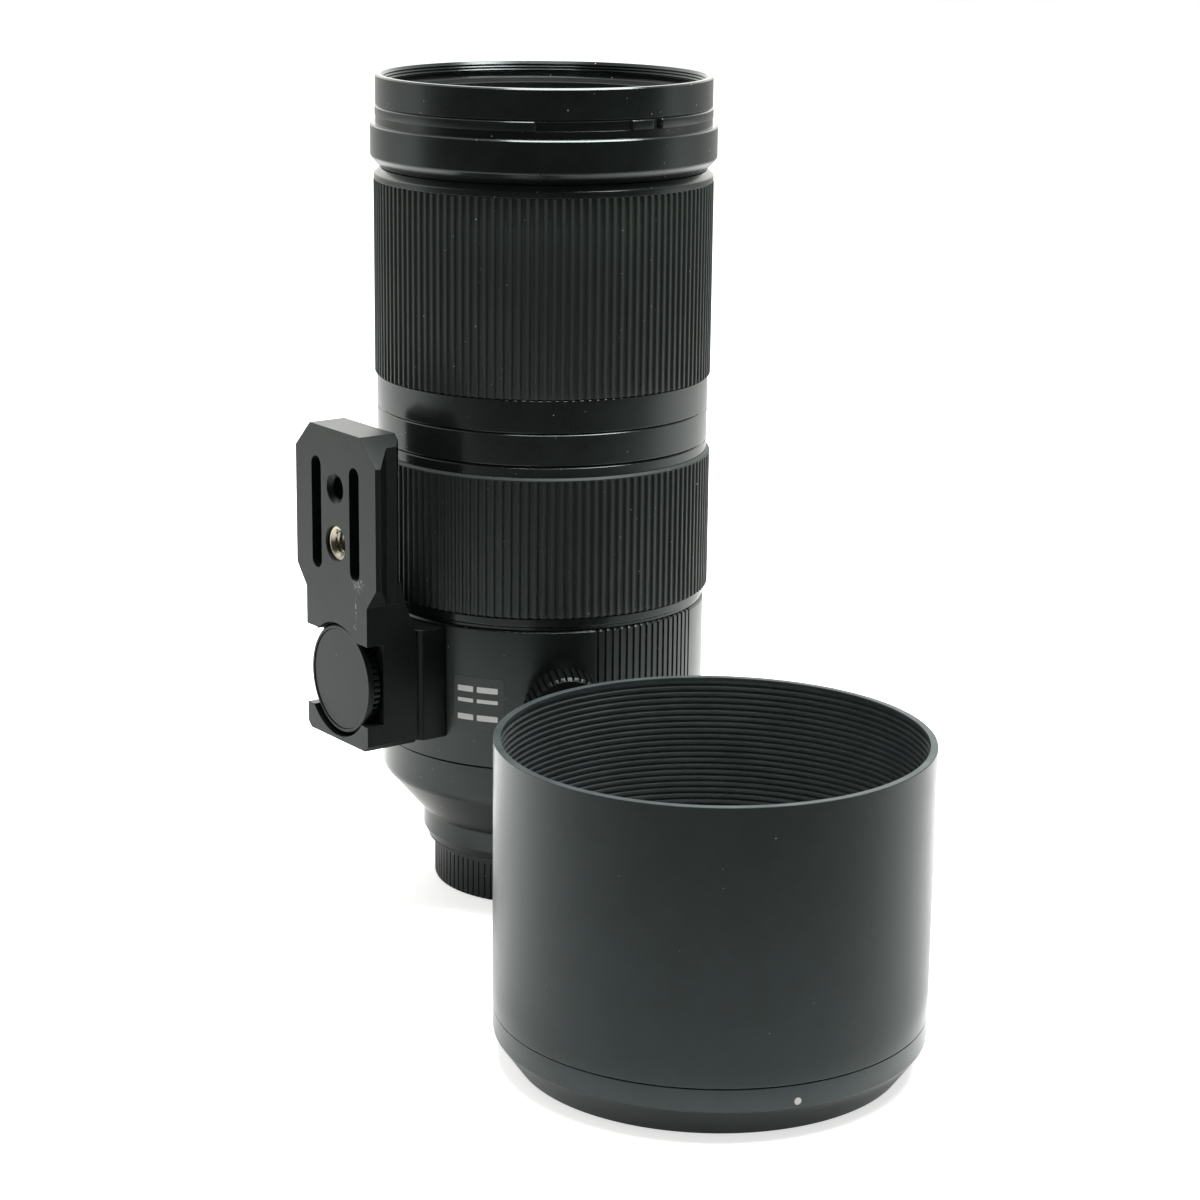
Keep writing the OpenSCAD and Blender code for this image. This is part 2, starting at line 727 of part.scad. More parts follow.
// Side view of the lower body, outwards and up
module body_side() {
    in_y = -body_r;
    plate_y = -foot_r + plate_t;
    curve = [for (i = [0 : 10])
        [in_y + (plate_y - in_y) * (1 - cos(18 * i)) / 2, plate_z0 - neck_h + neck_h * i / 10]];
    polygon(concat([[-foot_r, foot_z0], [in_y, foot_z0]], curve, [[-foot_r, plate_z0]]));
}

module tripod_foot() {
    color(metal)
        difference() {
            intersection() {
                translate([0, -40, 0])
                    rotate([90, 0, 0])
                        linear_extrude(30) foot_outline();
                union() {
                    translate([0, 0, waist_z - 8])
                        linear_extrude(foot_z1 - waist_z + 9) plate_section();
                    rotate([90, 0, 90])
                        translate([0, 0, -waist_w])
                            linear_extrude(2 * waist_w) body_side();
                }
            }
            outward(0, knob_z, knob_back - 0.2, foot_r + 2, knob_r + 0.5);
            for (s = [-1, 1])
                translate([s > 0 ? waist_w - 5 : -waist_w - 2, -foot_r - 1, knob_z - window_down])
                    cube([7, foot_r - knob_back + 1.2, window_up + window_down]);
            outward(0, knob_z, body_r - 1, foot_r, clamp_r + 0.06);
            translate([0, 0, foot_z0 - 1])
                linear_extrude(shoe_z1 + run_gap - foot_z0 + 1)
                    polygon([[-rail_w - run_gap, -body_r + 2], [-rail_w - run_gap, -shoe_r],
                        [-rail_w - rail_t * 0.7 - run_gap * 2, -rail_out - run_gap],
                        [rail_w + rail_t * 0.7 + run_gap * 2, -rail_out - run_gap],
                        [rail_w + run_gap, -shoe_r], [rail_w + run_gap, -body_r + 2]]);
            for (s = [-1, 1])
                translate([s * slot_x, -foot_r + slot_d, slot_z0 + slot_w / 2])
                    rotate([90, 0, 0]) {
                        cylinder(d = slot_w, h = slot_d + 1);
                        translate([0, slot_len - slot_w, 0]) cylinder(d = slot_w, h = slot_d + 1);
                        translate([-slot_w / 2, 0, 0]) cube([slot_w, slot_len - slot_w, slot_d + 1]);
                    }
            outward(0, pin_hole_z, foot_r - pin_hole_d, foot_r + 1, pin_hole_r);
            outward(0, insert_z, foot_r - insert_drop - insert_h, foot_r + 1, insert_r + snug);
            translate([0, -foot_r + 0.4, insert_z])
                rotate([90, 0, 0]) cylinder(r1 = insert_r, r2 = insert_r + 0.4, h = 0.41);
        }
}

module thread_insert() {
    color(steel)
        difference() {
            outward(0, insert_z, foot_r - insert_drop - insert_h, foot_r - insert_drop, insert_r);
            outward(0, insert_z, foot_r - insert_drop - insert_h - 1, foot_r + 1, thread_r);
            translate([0, -foot_r + insert_drop + 0.9, insert_z])
                rotate([90, 0, 0]) cylinder(r1 = thread_r, r2 = thread_r + 0.9, h = 0.91);
        }
}

module clamp_knob() {
    tooth_r = knob_r - 0.2;
    z_flange = knob_t - knob_flange;
    color(dark)
        translate([0, -knob_back, knob_z])
            rotate([90, 0, 0])
                difference() {
                    union() {
                        intersection() {
                            lathe([[0, 0], [tooth_r - 0.5, 0], [tooth_r, 0.5], [tooth_r, z_flange + 0.1],
                                [0, z_flange + 0.1]]);
                            linear_extrude(knob_t) star(tooth_r - 0.7, knob_r + 2, knob_teeth, 0.45, 0.7);
                        }
                        lathe([[0, z_flange], [tooth_r, z_flange], [knob_r, z_flange + 0.2],
                            [knob_r, knob_t - 0.6], [knob_r - 0.6, knob_t], [0, knob_t]]);
                    }
                    translate([0, 0, knob_t - 1]) cylinder(r = knob_disc_r, h = 4);
                    translate([0, 0, -eps]) cylinder(r = clamp_r + snug, h = 2.2);
                }
}

module clamp_disc() {
    color(metal) outward(0, knob_z, knob_face - 1, knob_face - 0.25, knob_disc_r - snug);
}

module clamp_screw() {
    color(steel) outward(0, knob_z, rail_out + 0.1, knob_back + 2.1, clamp_r);
}

module focus_ring() {
    r = barrel_r + 0.1;
    z_lip = z_foc1 - focus_lip_h;
    color(metal)
        lathe([[focus_in, z_foc0], [focus_sleeve_r, z_foc0], [focus_sleeve_r, z_lip], [r, z_lip],
            [r, z_foc1 - 0.25], [r - 0.25, z_foc1], [focus_in, z_foc1]]);
}

// Rubber sleeve with lengthwise grooves, open below and, with a rim, closed above
module grip(r, z0, z1, share, rim) {
    color(rubber)
        union() {
            intersection() {
                tube(r, r - rubber_t + snug, z0, z1);
                translate([0, 0, z0 - 1])
                    linear_extrude(z1 - z0 + 2) star(r - groove_d, r + 3, rib_count, share);
            }
            if (rim > 0) tube(r, r - groove_d - 0.1, z1 - rim, z1);
        }
}

module focus_grip() {
    grip(focus_grip_r, z_foc0 + 0.1, z_foc1 - focus_lip_h - 0.05, focus_rib_share, 0.9);
}

module zoom_ring() {
    r = barrel_r + 0.2;
    z_lip = z_zoom1 - zoom_lip_h;
    z_skirt = z_zoom0 + zoom_skirt_h;
    lip_r = zoom_grip_r - 0.1;
    color(metal)
        difference() {
            lathe([[cam_out + snug, z_zoom0], [r - 0.2, z_zoom0], [r, z_zoom0 + 0.2], [r, z_skirt],
                [zoom_sleeve_r, z_skirt], [zoom_sleeve_r, z_lip], [lip_r, z_lip], [lip_r, z_zoom1 - 1.5],
                [front_edge_r, z_zoom1], [tube_out + 0.9, z_zoom1], [tube_out + 0.9, z_guide1 + 0.6],
                [cam_out + snug, z_guide1 + 0.6]]);
            for (a = [30, 150, 270]) spoke(a, z_cam1 - 6, cam_out - 1, zoom_sleeve_r + 2, 1.04);
        }
}

module zoom_grip() {
    grip(zoom_grip_r, z_zoom0 + zoom_skirt_h + 0.05, z_zoom1 - zoom_lip_h - 0.05, zoom_rib_share, 0);
}

module cam_sleeve() {
    color(steel)
        difference() {
            tube(cam_out, cam_in, z_cam0, z_cam1);
            for (a = front_roller_at) cam_slot(a, front_roller_z, zoom_travel);
            for (a = inner_roller_at) cam_slot(a, variator_roller_z, variator_travel);
            for (a = inner_roller_at) cam_slot(a, iris_roller_z, iris_travel);
            for (a = [30, 150, 270]) spoke(a, z_cam1 - 6, cam_in - 1, cam_out + 1, 1.04);
        }
}

module zoom_screws() {
    color(steel)
        for (a = [30, 150, 270]) spoke(a, z_cam1 - 6, cam_in + 0.1, zoom_sleeve_r - 0.1, 1);
}

module dust_seal() {
    color(dark) tube(tube_out + 0.86, tube_out + 0.15, z_guide1 + 0.7, z_zoom1 - 0.4);
}

module front_tube() {
    color(metal)
        difference() {
            tube(tube_out, tube_in, z_tube0, z_front0 + 3);
            for (a = front_roller_at) spoke(a, front_roller_z, tube_in - 1, tube_out + 1, roller_r + snug);
        }
}

module front_rollers() {
    color(brass) rollers(front_roller_at, front_roller_z, tube_in + 0.1);
}

module front_ring() {
    step_r = groove_r + 0.3;
    color(metal)
        difference() {
            lathe([[tube_out + snug, z_front0], [front_edge_r, z_front0], [front_r, z_front0 + 2.8],
                [front_r, z_ring_top - 0.3], [front_r - 0.3, z_ring_top], [step_r, z_ring_top],
                [step_r, z_ring_top + groove_h * 0.4], [groove_r, z_ring_top + groove_h * 0.4],
                [groove_r, z_front1 - band_h], [band_r, z_front1 - band_h], [band_r, z_front1 - 0.4],
                [band_r - 0.4, z_front1], [filter_r + 0.6, z_front1], [filter_r, z_front1 - 0.6],
                [filter_r, z_front1 - filter_h + 1], [filter_r - 0.9, z_front1 - filter_h + 1],
                [filter_r - 0.9, z_front1 - filter_h], [lens_r + snug, z_front1 - filter_h],
                [lens_r + snug, z_front0 + 8.5], [tube_in, z_front0 + 8.5], [tube_in, z_front0 + 3],
                [tube_out + snug, z_front0 + 3]]);
            for (a = [324, 84, 204])
                sector(groove_r - 0.5, band_r + 2, z_ring_top + groove_h * 0.4, z_front1 - band_h + 0.6,
                    a, 5.2);
        }
}

module name_ring() {
    z0 = z_front1 - filter_h;
    color(dark) lathe([[lens_r - 1.2, lens_edge_z], [lens_r - 0.1, lens_edge_z], [lens_r - 0.1, z0],
        [filter_r - 0.95, z0], [filter_r - 0.95, z0 + 0.9], [filter_r - 2, z0 + 0.9],
        [lens_r - 1.2, z0 + 0.2]]);
}

module front_lens() {
    color(glass) element(lens_r, z_lens, z_front0 + 8.5, lens_curve, 700);
}

module front_doublet() {
    color(glass) element(tube_in - snug, z_front0 + 8.3, z_front0 + 0.6, 220, 320);
}

module variator_cell() {
    lip = variator_lens_r - 1.06;
    seat = variator_lens_r + snug;
    out = variator_lens_r + 0.54;
    color(dark)
        difference() {
            lathe([[lip, z_var0], [out, z_var0], [out, z_var0 + 4.6], [cell_r, z_var0 + 3],
                [cell_r, z_var0 + variator_h - 3], [out + 1, z_var0 + variator_h - 5.4],
                [out + 1, z_var0 + variator_h - 2], [seat, z_var0 + variator_h - 2],
                [seat, z_var0 + 2], [lip, z_var0 + 2]]);
            for (a = inner_roller_at) spoke(a, variator_roller_z, cell_r - 4, cell_r + 1, roller_r + snug);
        }
}

module variator_lens() {
    color(glass) element(variator_lens_r, z_var0 + variator_h - 2.2, z_var0 + 2,
        3.6 * variator_lens_r, 5.8 * variator_lens_r);
}

module variator_rollers() {
    color(brass) rollers(inner_roller_at, variator_roller_z, cell_r - 3.9);
}

module iris_cell() {
    lip = relay_lens_r - 0.76;
    seat = relay_lens_r + snug;
    out = relay_lens_r + 0.84;
    color(dark)
        difference() {
            union() {
                lathe([[lip, z_iris0], [out, z_iris0], [out, z_iris0 + 3], [cell_r - 5, z_iris0 + 2],
                    [cell_r, z_iris0 + 2], [cell_r, z_iris0 + iris_h], [cell_r - 1.2, z_iris0 + iris_h],
                    [cell_r - 1.2, z_iris0 + 6.8], [pivot_r + 6, z_iris0 + 6.8], [pivot_r + 6, iris_plate_z],
                    [pivot_r + 6, iris_plate_z + 1], [iris_r + 0.1, iris_plate_z + 1],
                    [iris_r + 0.1, iris_plate_z], [pivot_r + 4.6, iris_plate_z],
                    [pivot_r + 4.6, z_iris0 + 6.8], [out, z_iris0 + 6], [out, z_iris0 + 8],
                    [seat, z_iris0 + 8], [seat, z_iris0 + 2], [lip, z_iris0 + 2]]);
                tube(cell_r - 1.1, cell_r - 3, iris_ring_z - 1.2, iris_ring_z - 0.12);
                for (i = [0 : blade_count - 1])
                    rotate([0, 0, i * 360 / blade_count])
                        translate([pivot_r, 0, iris_plate_z + 0.5])
                            cylinder(r = blade_pin_r, h = blade_stack + 0.7);
            }
            for (a = inner_roller_at) spoke(a, iris_roller_z, cell_r - 4, cell_r + 1, roller_r + snug);
        }
}

module relay_lens() {
    color(glass) element(relay_lens_r, z_iris0 + 8, z_iris0 + 2, 3.4 * relay_lens_r, 5 * relay_lens_r);
}

module iris_rollers() {
    color(brass) rollers(inner_roller_at, iris_roller_z, cell_r - 3.9);
}

// Place of a blade's drive pin, seen from the iris ring, when the ring has turned by t
function pin_at(t) = let (a = -90 + blade_ratio * t,
    x = pivot_r + blade_pin_gap * cos(a), y = blade_pin_gap * sin(a))
    [x * cos(-t) - y * sin(-t), x * sin(-t) + y * cos(-t)];

module iris_ring() {
    steps = 8;
    color(metal)
        difference() {
            tube(cell_r - 1.2 - run_gap, iris_r + 4, iris_ring_z, iris_ring_z + 0.8);
            for (i = [0 : blade_count - 1])
                rotate([0, 0, i * 360 / blade_count])
                    for (k = [0 : steps])
                        translate(concat(pin_at(iris_turn * k / steps), [iris_ring_z - 1]))
                            cylinder(r = blade_pin_r + 1, h = 3);
        }
}

module iris_blade(i) {
    z = blade_z + (i - 1) * blade_step;
    color(dark)
        rotate([0, 0, (i - 1) * 360 / blade_count])
            union() {
                difference() {
                    union() {
                        sector(iris_r + 0.4, iris_r + 6, z, z + blade_t, -2, 96);
                        translate([pivot_r - 5, -1.5, z]) cube([5, 3, blade_t]);
                        translate([pivot_r, 0, z]) cylinder(r = 1.5, h = blade_t);
                        translate([pivot_r - 1.1, -blade_pin_gap, z]) cube([2.2, blade_pin_gap, blade_t]);
                        translate([pivot_r, -blade_pin_gap, z]) cylinder(r = 1.1, h = blade_t);
                    }
                    translate([pivot_r, 0, z - 1]) cylinder(r = blade_pin_r + 0.1, h = 2);
                }
                translate([pivot_r, -blade_pin_gap, z])
                    cylinder(r = blade_pin_r, h = iris_ring_z + 0.6 - z);
            }
}

module hood_shell() {
    ribs = floor((hood_h - hood_ring_h - 4) / hood_rib);
    d = min(0.5, hood_wall * 0.35);
    inner = [for (i = [ribs - 1 : -1 : 0]) for (p = [[hood_in, 0.7], [hood_in + d, 0]])
        [p[0], hood_ring_h + 1.5 + (i + p[1]) * hood_rib]];
    color(charcoal)
        translate([hood_x, hood_y, 0])
            lathe(concat([[hood_in, hood_ring_h + 0.3], [hood_r - 0.2, hood_ring_h + 0.3],
                [hood_r, hood_ring_h + 0.5], [hood_r, hood_h - 0.3], [hood_r - 0.3, hood_h],
                [hood_in, hood_h]], inner));
}

module hood_ring() {
    r = hood_r - 0.1;
    color(charcoal)
        translate([hood_x, hood_y, 0])
            lathe([[hood_socket_r, 0], [hood_base_r, 0], [r, hood_chamfer_h], [r, hood_ring_h - 0.25],
                [r - 0.3, hood_ring_h], [r - 0.8, hood_ring_h], [r - 0.8, hood_ring_h + 0.3],
                [hood_in - 0.6, hood_ring_h + 0.3],
                [hood_socket_r, hood_chamfer_h + 1]]);
}

rear_cap();
mount_bayonet();
mount_screws();
mount_seal();
contact_block();
contact_pins();
rear_barrel();
main_barrel();
index_ring();
guide_tube();
rear_cell();
rear_lens();
focus_rods();
focus_motor();
focus_screw();
focus_cell();
focus_lens();
main_board();
collar_ring();
collar_shoe();
lock_knob();
lock_cap();
lock_screw();
tripod_foot();
thread_insert();
clamp_knob();
clamp_disc();
clamp_screw();
focus_ring();
focus_grip();
zoom_ring();
zoom_grip();
cam_sleeve();
zoom_screws();
dust_seal();
front_tube();
front_rollers();
front_ring();
name_ring();
front_lens();
front_doublet();
variator_cell();
variator_lens();
variator_rollers();
iris_cell();
relay_lens();
iris_rollers();
iris_ring();
hood_shell();
hood_ring();
for (i = [1 : blade_count])
    iris_blade(i);
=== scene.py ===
import math

import bpy
from mathutils import Matrix, Vector


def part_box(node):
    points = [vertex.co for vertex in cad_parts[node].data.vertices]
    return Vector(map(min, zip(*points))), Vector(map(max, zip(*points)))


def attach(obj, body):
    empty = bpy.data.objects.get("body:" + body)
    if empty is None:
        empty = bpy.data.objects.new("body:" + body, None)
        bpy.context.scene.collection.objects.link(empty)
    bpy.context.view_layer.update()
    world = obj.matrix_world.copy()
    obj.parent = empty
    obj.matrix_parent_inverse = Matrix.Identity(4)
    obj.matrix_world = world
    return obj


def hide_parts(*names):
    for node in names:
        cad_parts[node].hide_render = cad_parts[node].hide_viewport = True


bl_info = {
    "name": "Zoom lens on its rear cap",
    "version": (1, 0, 0),
    "blender": (4, 5, 0),
    "location": "View3D > Sidebar > Zoom lens",
    "description": "Dresses the packed zoom lens: turned rings, ribbed grips, tripod foot, glass and hood",
    "category": "Object",
}

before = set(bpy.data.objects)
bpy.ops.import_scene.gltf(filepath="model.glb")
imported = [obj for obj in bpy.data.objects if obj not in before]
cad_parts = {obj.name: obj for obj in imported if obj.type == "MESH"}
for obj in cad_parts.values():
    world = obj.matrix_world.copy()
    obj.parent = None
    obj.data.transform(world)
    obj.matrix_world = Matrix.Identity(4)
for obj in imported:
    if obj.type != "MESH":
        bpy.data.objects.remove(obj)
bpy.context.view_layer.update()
MM = 0.001
FULL = 2 * math.pi
ON_AXIS = 1e-6
SLIGHT_BEND = math.radians(13)


def heights(node):
    """Lowest and highest point of a piece, in millimetres."""
    low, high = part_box(node)
    return low.z / MM, high.z / MM


def reach(node):
    """Outer radius about the optical axis, lowest and highest point of a round piece, in millimetres."""
    return (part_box(node)[1].x / MM, *heights(node))


def linear(red, green, blue):
    """Linear colour from 0 to 255 values as they show on screen."""
    return tuple((c / 12.92 if c <= 0.04045 else ((c + 0.055) / 1.055) ** 2.4)
                 for c in (red / 255, green / 255, blue / 255))


def length(name, description, value):
    """Property for a length given in millimetres."""
    return bpy.props.FloatProperty(name=name, description=description, default=value * MM,
                                   min=0, precision=5, unit="LENGTH", subtype="DISTANCE")


def angle(name, description, degrees):
    return bpy.props.FloatProperty(name=name, description=description, default=math.radians(degrees),
                                   unit="ROTATION", subtype="ANGLE")


def colour(name, description, red, green, blue):
    return bpy.props.FloatVectorProperty(name=name, description=description, size=3, min=0, max=1,
                                         default=linear(red, green, blue), subtype="COLOR")


def number(name, description, value, low=0):
    return bpy.props.IntProperty(name=name, description=description, default=value, min=low)


class LensSizes(bpy.types.PropertyGroup):
    """Sizes of the details that the frame doesn't carry."""
    edge_round: length("Edge rounding", "Radius on the edges of turned rings", 0.16)
    steps_round: number("Steps round", "Steps round a turned ring", 240, 24)
    rib_count: number("Ribs", "Ribs round each rubber grip", 126, 12)
    groove_depth: length("Groove depth", "Depth of the grooves in the rubber", 0.6)
    rib_share: bpy.props.FloatProperty(name="Rib share", description="Part of the pitch that is rib",
                                       default=0.4, min=0.1, max=0.9, subtype="FACTOR")
    grip_rim: length("Grip rim", "Plain rim that closes the grooves at the front", 0.7)
    flute_count: number("Collar flutes", "Finger flutes in each patch of the collar", 17, 1)
    flute_pitch: angle("Flute pitch", "Angle between neighbouring flutes", 2.75)
    flute_width: length("Flute width", "Width of a finger flute", 0.7)
    flute_depth: length("Flute depth", "Depth of a finger flute", 0.5)
    cap_flutes: number("Cap flutes", "Grip flutes round the rear cap", 96, 12)
    cap_flute_depth: length("Cap flute depth", "Depth of a flute in the rear cap", 0.4)
    hood_rib: length("Hood rib", "Pitch of the light-trap ribs inside the hood", 1.5)
    hood_rib_depth: length("Hood rib depth", "Depth between those ribs", 0.5)
    filter_pitch: length("Filter pitch", "Pitch of the filter thread", 0.75)
    insert_pitch: length("Insert pitch", "Pitch of the tripod thread", 1.27)
    label_width: length("Label width", "Width of the label on the collar", 13.6)
    label_height: length("Label height", "Height of the label on the collar", 13.5)
    label_angle: angle("Label angle", "Direction of the label round the optical axis", 303.2)
    dot_radius: length("Dot radius", "Radius of the index dot on the hood", 0.88)
    dot_angle: angle("Dot angle", "Direction of the index dot round the hood", 344.5)


class LensColours(bpy.types.PropertyGroup):
    """Colours of the finishes."""
    anodised: colour("Anodised black", "Turned metal rings", 24, 28, 27)
    foot_black: colour("Foot black", "Hard-anodised foot and knobs", 16, 19, 18)
    rubber: colour("Rubber", "Ribbed grips", 49, 54, 51)
    plastic: colour("Black plastic", "Rear cap and inner cells", 32, 35, 34)
    charcoal: colour("Charcoal", "Hood", 33, 38, 38)
    steel: colour("Steel", "Mount and screws", 190, 187, 180)
    brass: colour("Brass", "Rollers and contacts", 214, 180, 106)
    bronze: colour("Bronze", "Threaded insert of the foot", 172, 165, 150)
    dust: colour("Dust", "Dust specks", 170, 172, 170)
    label: colour("Label", "Label on the collar", 74, 78, 78)
    marks: colour("Marks", "Printed marks and the index dot", 240, 240, 237)
    board: colour("Board", "Circuit board", 24, 74, 44)
    floor: colour("Floor", "Floor under the lens", 238, 238, 237)


def sizes():
    return bpy.context.scene.lens_sizes


def paint(key, factor=1.0):
    """Linear colour of a finish, darker or lighter by a factor."""
    return tuple(c * factor for c in getattr(bpy.context.scene.lens_colours, key))


# Shader nodes and node groups

def fill(tree, node, inputs):
    """Values or links on the inputs of a node."""
    for key, value in inputs.items():
        if isinstance(value, bpy.types.NodeSocket):
            tree.links.new(value, node.inputs[key])
        else:
            node.inputs[key].default_value = value


def add(tree, kind, inputs=None, **settings):
    """New node with settings, and values or links on its inputs."""
    made = tree.nodes.new(kind)
    for key, value in settings.items():
        setattr(made, key, value)
    fill(tree, made, inputs or {})
    return made


def math_node(tree, operation, first, second=0.0, clamp=False):
    made = add(tree, "ShaderNodeMath", {0: first, 1: second}, operation=operation, use_clamp=clamp)
    return made.outputs[0]


def times(tree, first, second):
    return math_node(tree, "MULTIPLY", first, second)


def blend_colour(tree, factor, first, second):
    return add(tree, "ShaderNodeMix", {0: factor, 6: first, 7: second}, data_type="RGBA").outputs[2]


def remap(tree, value, low, high, to_low, to_high):
    return add(tree, "ShaderNodeMapRange", {0: value, 1: low, 2: high, 3: to_low, 4: to_high}).outputs[0]


def along(tree, place, way):
    """Part of a vector that lies along a fixed direction."""
    return add(tree, "ShaderNodeVectorMath", {0: place, 1: way}, operation="DOT_PRODUCT").outputs["Value"]


def object_place(tree):
    return add(tree, "ShaderNodeTexCoord").outputs["Object"]


def noise(tree, place, scale, detail, **more):
    inputs = {"Vector": place, "Scale": scale, "Detail": detail, **more}
    return add(tree, "ShaderNodeTexNoise", inputs).outputs["Fac"]


def shared_group(name, inputs, outputs, build):
    """Node group of that name, built on first use."""
    if name not in bpy.data.node_groups:
        tree = bpy.data.node_groups.new(name, "ShaderNodeTree")
        for label, default in inputs.items():
            socket = tree.interface.new_socket(label, in_out="INPUT", socket_type="NodeSocketFloat")
            socket.default_value = default
        for label in outputs:
            tree.interface.new_socket(label, in_out="OUTPUT", socket_type="NodeSocketFloat")
        build(tree, tree.nodes.new("NodeGroupInput").outputs, tree.nodes.new("NodeGroupOutput").inputs)
    return bpy.data.node_groups[name]


def grain_group():
    """Fine blasted grain and a slow drift of tone."""
    def build(tree, given, out):
        place = object_place(tree)
        tree.links.new(noise(tree, place, given["Scale"], 3.0, Roughness=0.6), out["Height"])
        tree.links.new(noise(tree, place, 90.0, 3.0, Roughness=0.55), out["Tone"])
    return shared_group("blasted_grain", {"Scale": 4000.0}, ("Height", "Tone"), build)


def lines_group():
    """Fine lines left by turning, all at one height round the axis."""
    def build(tree, given, out):
        height = add(tree, "ShaderNodeSeparateXYZ", {0: object_place(tree)}).outputs["Z"]
        at = times(tree, height, given["Scale"])
        fine = add(tree, "ShaderNodeTexNoise", {"W": at, "Scale": 1.0, "Detail": 2.0}, noise_dimensions="1D")
        tree.links.new(fine.outputs["Fac"], out["Height"])
    return shared_group("turned_lines", {"Scale": 9000.0}, ("Height",), build)


def dust_group():
    """Scattered specks of dust of mixed size."""
    def build(tree, given, out):
        cells = add(tree, "ShaderNodeTexVoronoi", {"Vector": object_place(tree), "Scale": given["Scale"]})
        chance = add(tree, "ShaderNodeSeparateColor", {0: cells.outputs["Color"]})
        size = remap(tree, math_node(tree, "POWER", chance.outputs["Green"], 3.0), 0.0, 1.0, 0.03, 0.07)
        inside = math_node(tree, "LESS_THAN", cells.outputs["Distance"], size)
        kept = math_node(tree, "LESS_THAN", chance.outputs["Red"], given["Share"])
        tree.links.new(times(tree, inside, kept), out["Mask"])
    return shared_group("dust_specks", {"Scale": 360.0, "Share": 0.3}, ("Mask",), build)


def handling_group():
    """Soft patches where hands have polished or dulled the finish."""
    def build(tree, given, out):
        patch = noise(tree, object_place(tree), given["Scale"], 5.0, Roughness=0.62, Distortion=0.6)
        tree.links.new(remap(tree, patch, 0.35, 0.65, 0.0, 1.0), out["Mask"])
    return shared_group("handling_patches", {"Scale": 45.0}, ("Mask",), build)


def scuff_group():
    """Rubbed spot round a point, broken up by fine noise."""
    def build(tree, given, out):
        place = object_place(tree)
        at = add(tree, "ShaderNodeSeparateXYZ", {0: place})
        squares = []
        for axis, span in (("X", "Across"), ("Y", "Across"), ("Z", "Up")):
            off = math_node(tree, "SUBTRACT", at.outputs[axis], given[axis])
            squares.append(math_node(tree, "POWER", math_node(tree, "DIVIDE", off, given[span]), 2.0))
        far = math_node(tree, "ADD", math_node(tree, "ADD", squares[0], squares[1]), squares[2])
        near = remap(tree, far, 1.0, 0.0, 0.0, 1.0)
        worn = remap(tree, noise(tree, place, 1700.0, 4.0, Roughness=0.7), 0.5, 0.62, 0.0, 1.0)
        tree.links.new(math_node(tree, "MULTIPLY", near, worn, clamp=True), out["Mask"])
    inputs = {"X": 0.0, "Y": 0.0, "Z": 0.0, "Across": 0.002, "Up": 0.002}
    return shared_group("rubbed_spot", inputs, ("Mask",), build)


def place_group(tree, group, **values):
    made = tree.nodes.new("ShaderNodeGroup")
    made.node_tree = group
    fill(tree, made, values)
    return made.outputs


# Finishes

def shade(base, factor):
    return tuple(min(1.0, c * factor) for c in base) + (1.0,)


def new_material(name):
    made = bpy.data.materials.new(name)
    made.use_nodes = True
    tree = made.node_tree
    tree.nodes.clear()
    out = tree.nodes.new("ShaderNodeOutputMaterial")
    shader = tree.nodes.new("ShaderNodeBsdfPrincipled")
    tree.links.new(shader.outputs[0], out.inputs["Surface"])
    return made, tree, shader


def finish(name, key, rough, factor=1.0, grain=4000.0, depth=0.02, strength=0.25, tone=0.12, metallic=0.0,
           specular=0.5, lines=0.0, dust=0.0, handled=0.06, edge=0.0, scuffs=(), tint=(0.88, 1.0, 0.97)):
    """Surface with grain, drift of tone, handling, worn edges, scuffs and dust.

    The grain's depth and each scuff's (x, y, z, width, height) are in millimetres.
    """
    if name in bpy.data.materials:
        return bpy.data.materials[name]
    made, tree, shader = new_material(name)
    base = paint(key, factor)
    grains = place_group(tree, grain_group(), Scale=grain)
    body = blend_colour(tree, grains["Tone"], shade(base, 1 - tone), shade(base, 1 + tone))
    dusty = shade(paint("dust"), 1.0)
    if edge:
        worn = add(tree, "ShaderNodeAttribute", attribute_name="edge").outputs["Fac"]
        patch = times(tree, worn, remap(tree, grains["Tone"], 0.35, 0.65, 0.3, 1.0))
        body = blend_colour(tree, times(tree, patch, edge), body, shade(base, 4.0))
    for scuff in scuffs:
        spot = {key: value * MM for key, value in zip(("X", "Y", "Z", "Across", "Up"), scuff)}
        body = blend_colour(tree, place_group(tree, scuff_group(), **spot)["Mask"], body, dusty)
    patches = place_group(tree, handling_group())["Mask"]
    gloss = remap(tree, patches, 0.0, 1.0, max(0.02, rough - handled), min(1.0, rough + handled))
    if dust:
        specks = place_group(tree, dust_group(), Share=dust)["Mask"]
        body = blend_colour(tree, specks, body, dusty)
        gloss = math_node(tree, "MAXIMUM", gloss, times(tree, specks, 0.9))
    height = grains["Height"]
    if lines:
        ridges = place_group(tree, lines_group())["Height"]
        height = math_node(tree, "ADD", height, times(tree, ridges, lines))
    bump = add(tree, "ShaderNodeBump", {"Height": height, "Strength": strength, "Distance": depth * MM})
    fill(tree, shader, {"Base Color": body, "Roughness": gloss, "Normal": bump.outputs[0],
                        "Metallic": metallic, "Specular IOR Level": specular, "Specular Tint": tint + (1.0,)})
    return made


def anodised():
    return finish("anodised_black", "anodised", 0.19, grain=5200.0, depth=0.004, lines=0.6, dust=0.8,
                  edge=0.2, handled=0.02)


def collar_black():
    return finish("collar_black", "anodised", 0.31, grain=4200.0, depth=0.01, lines=0.4, dust=0.6,
                  handled=0.02)


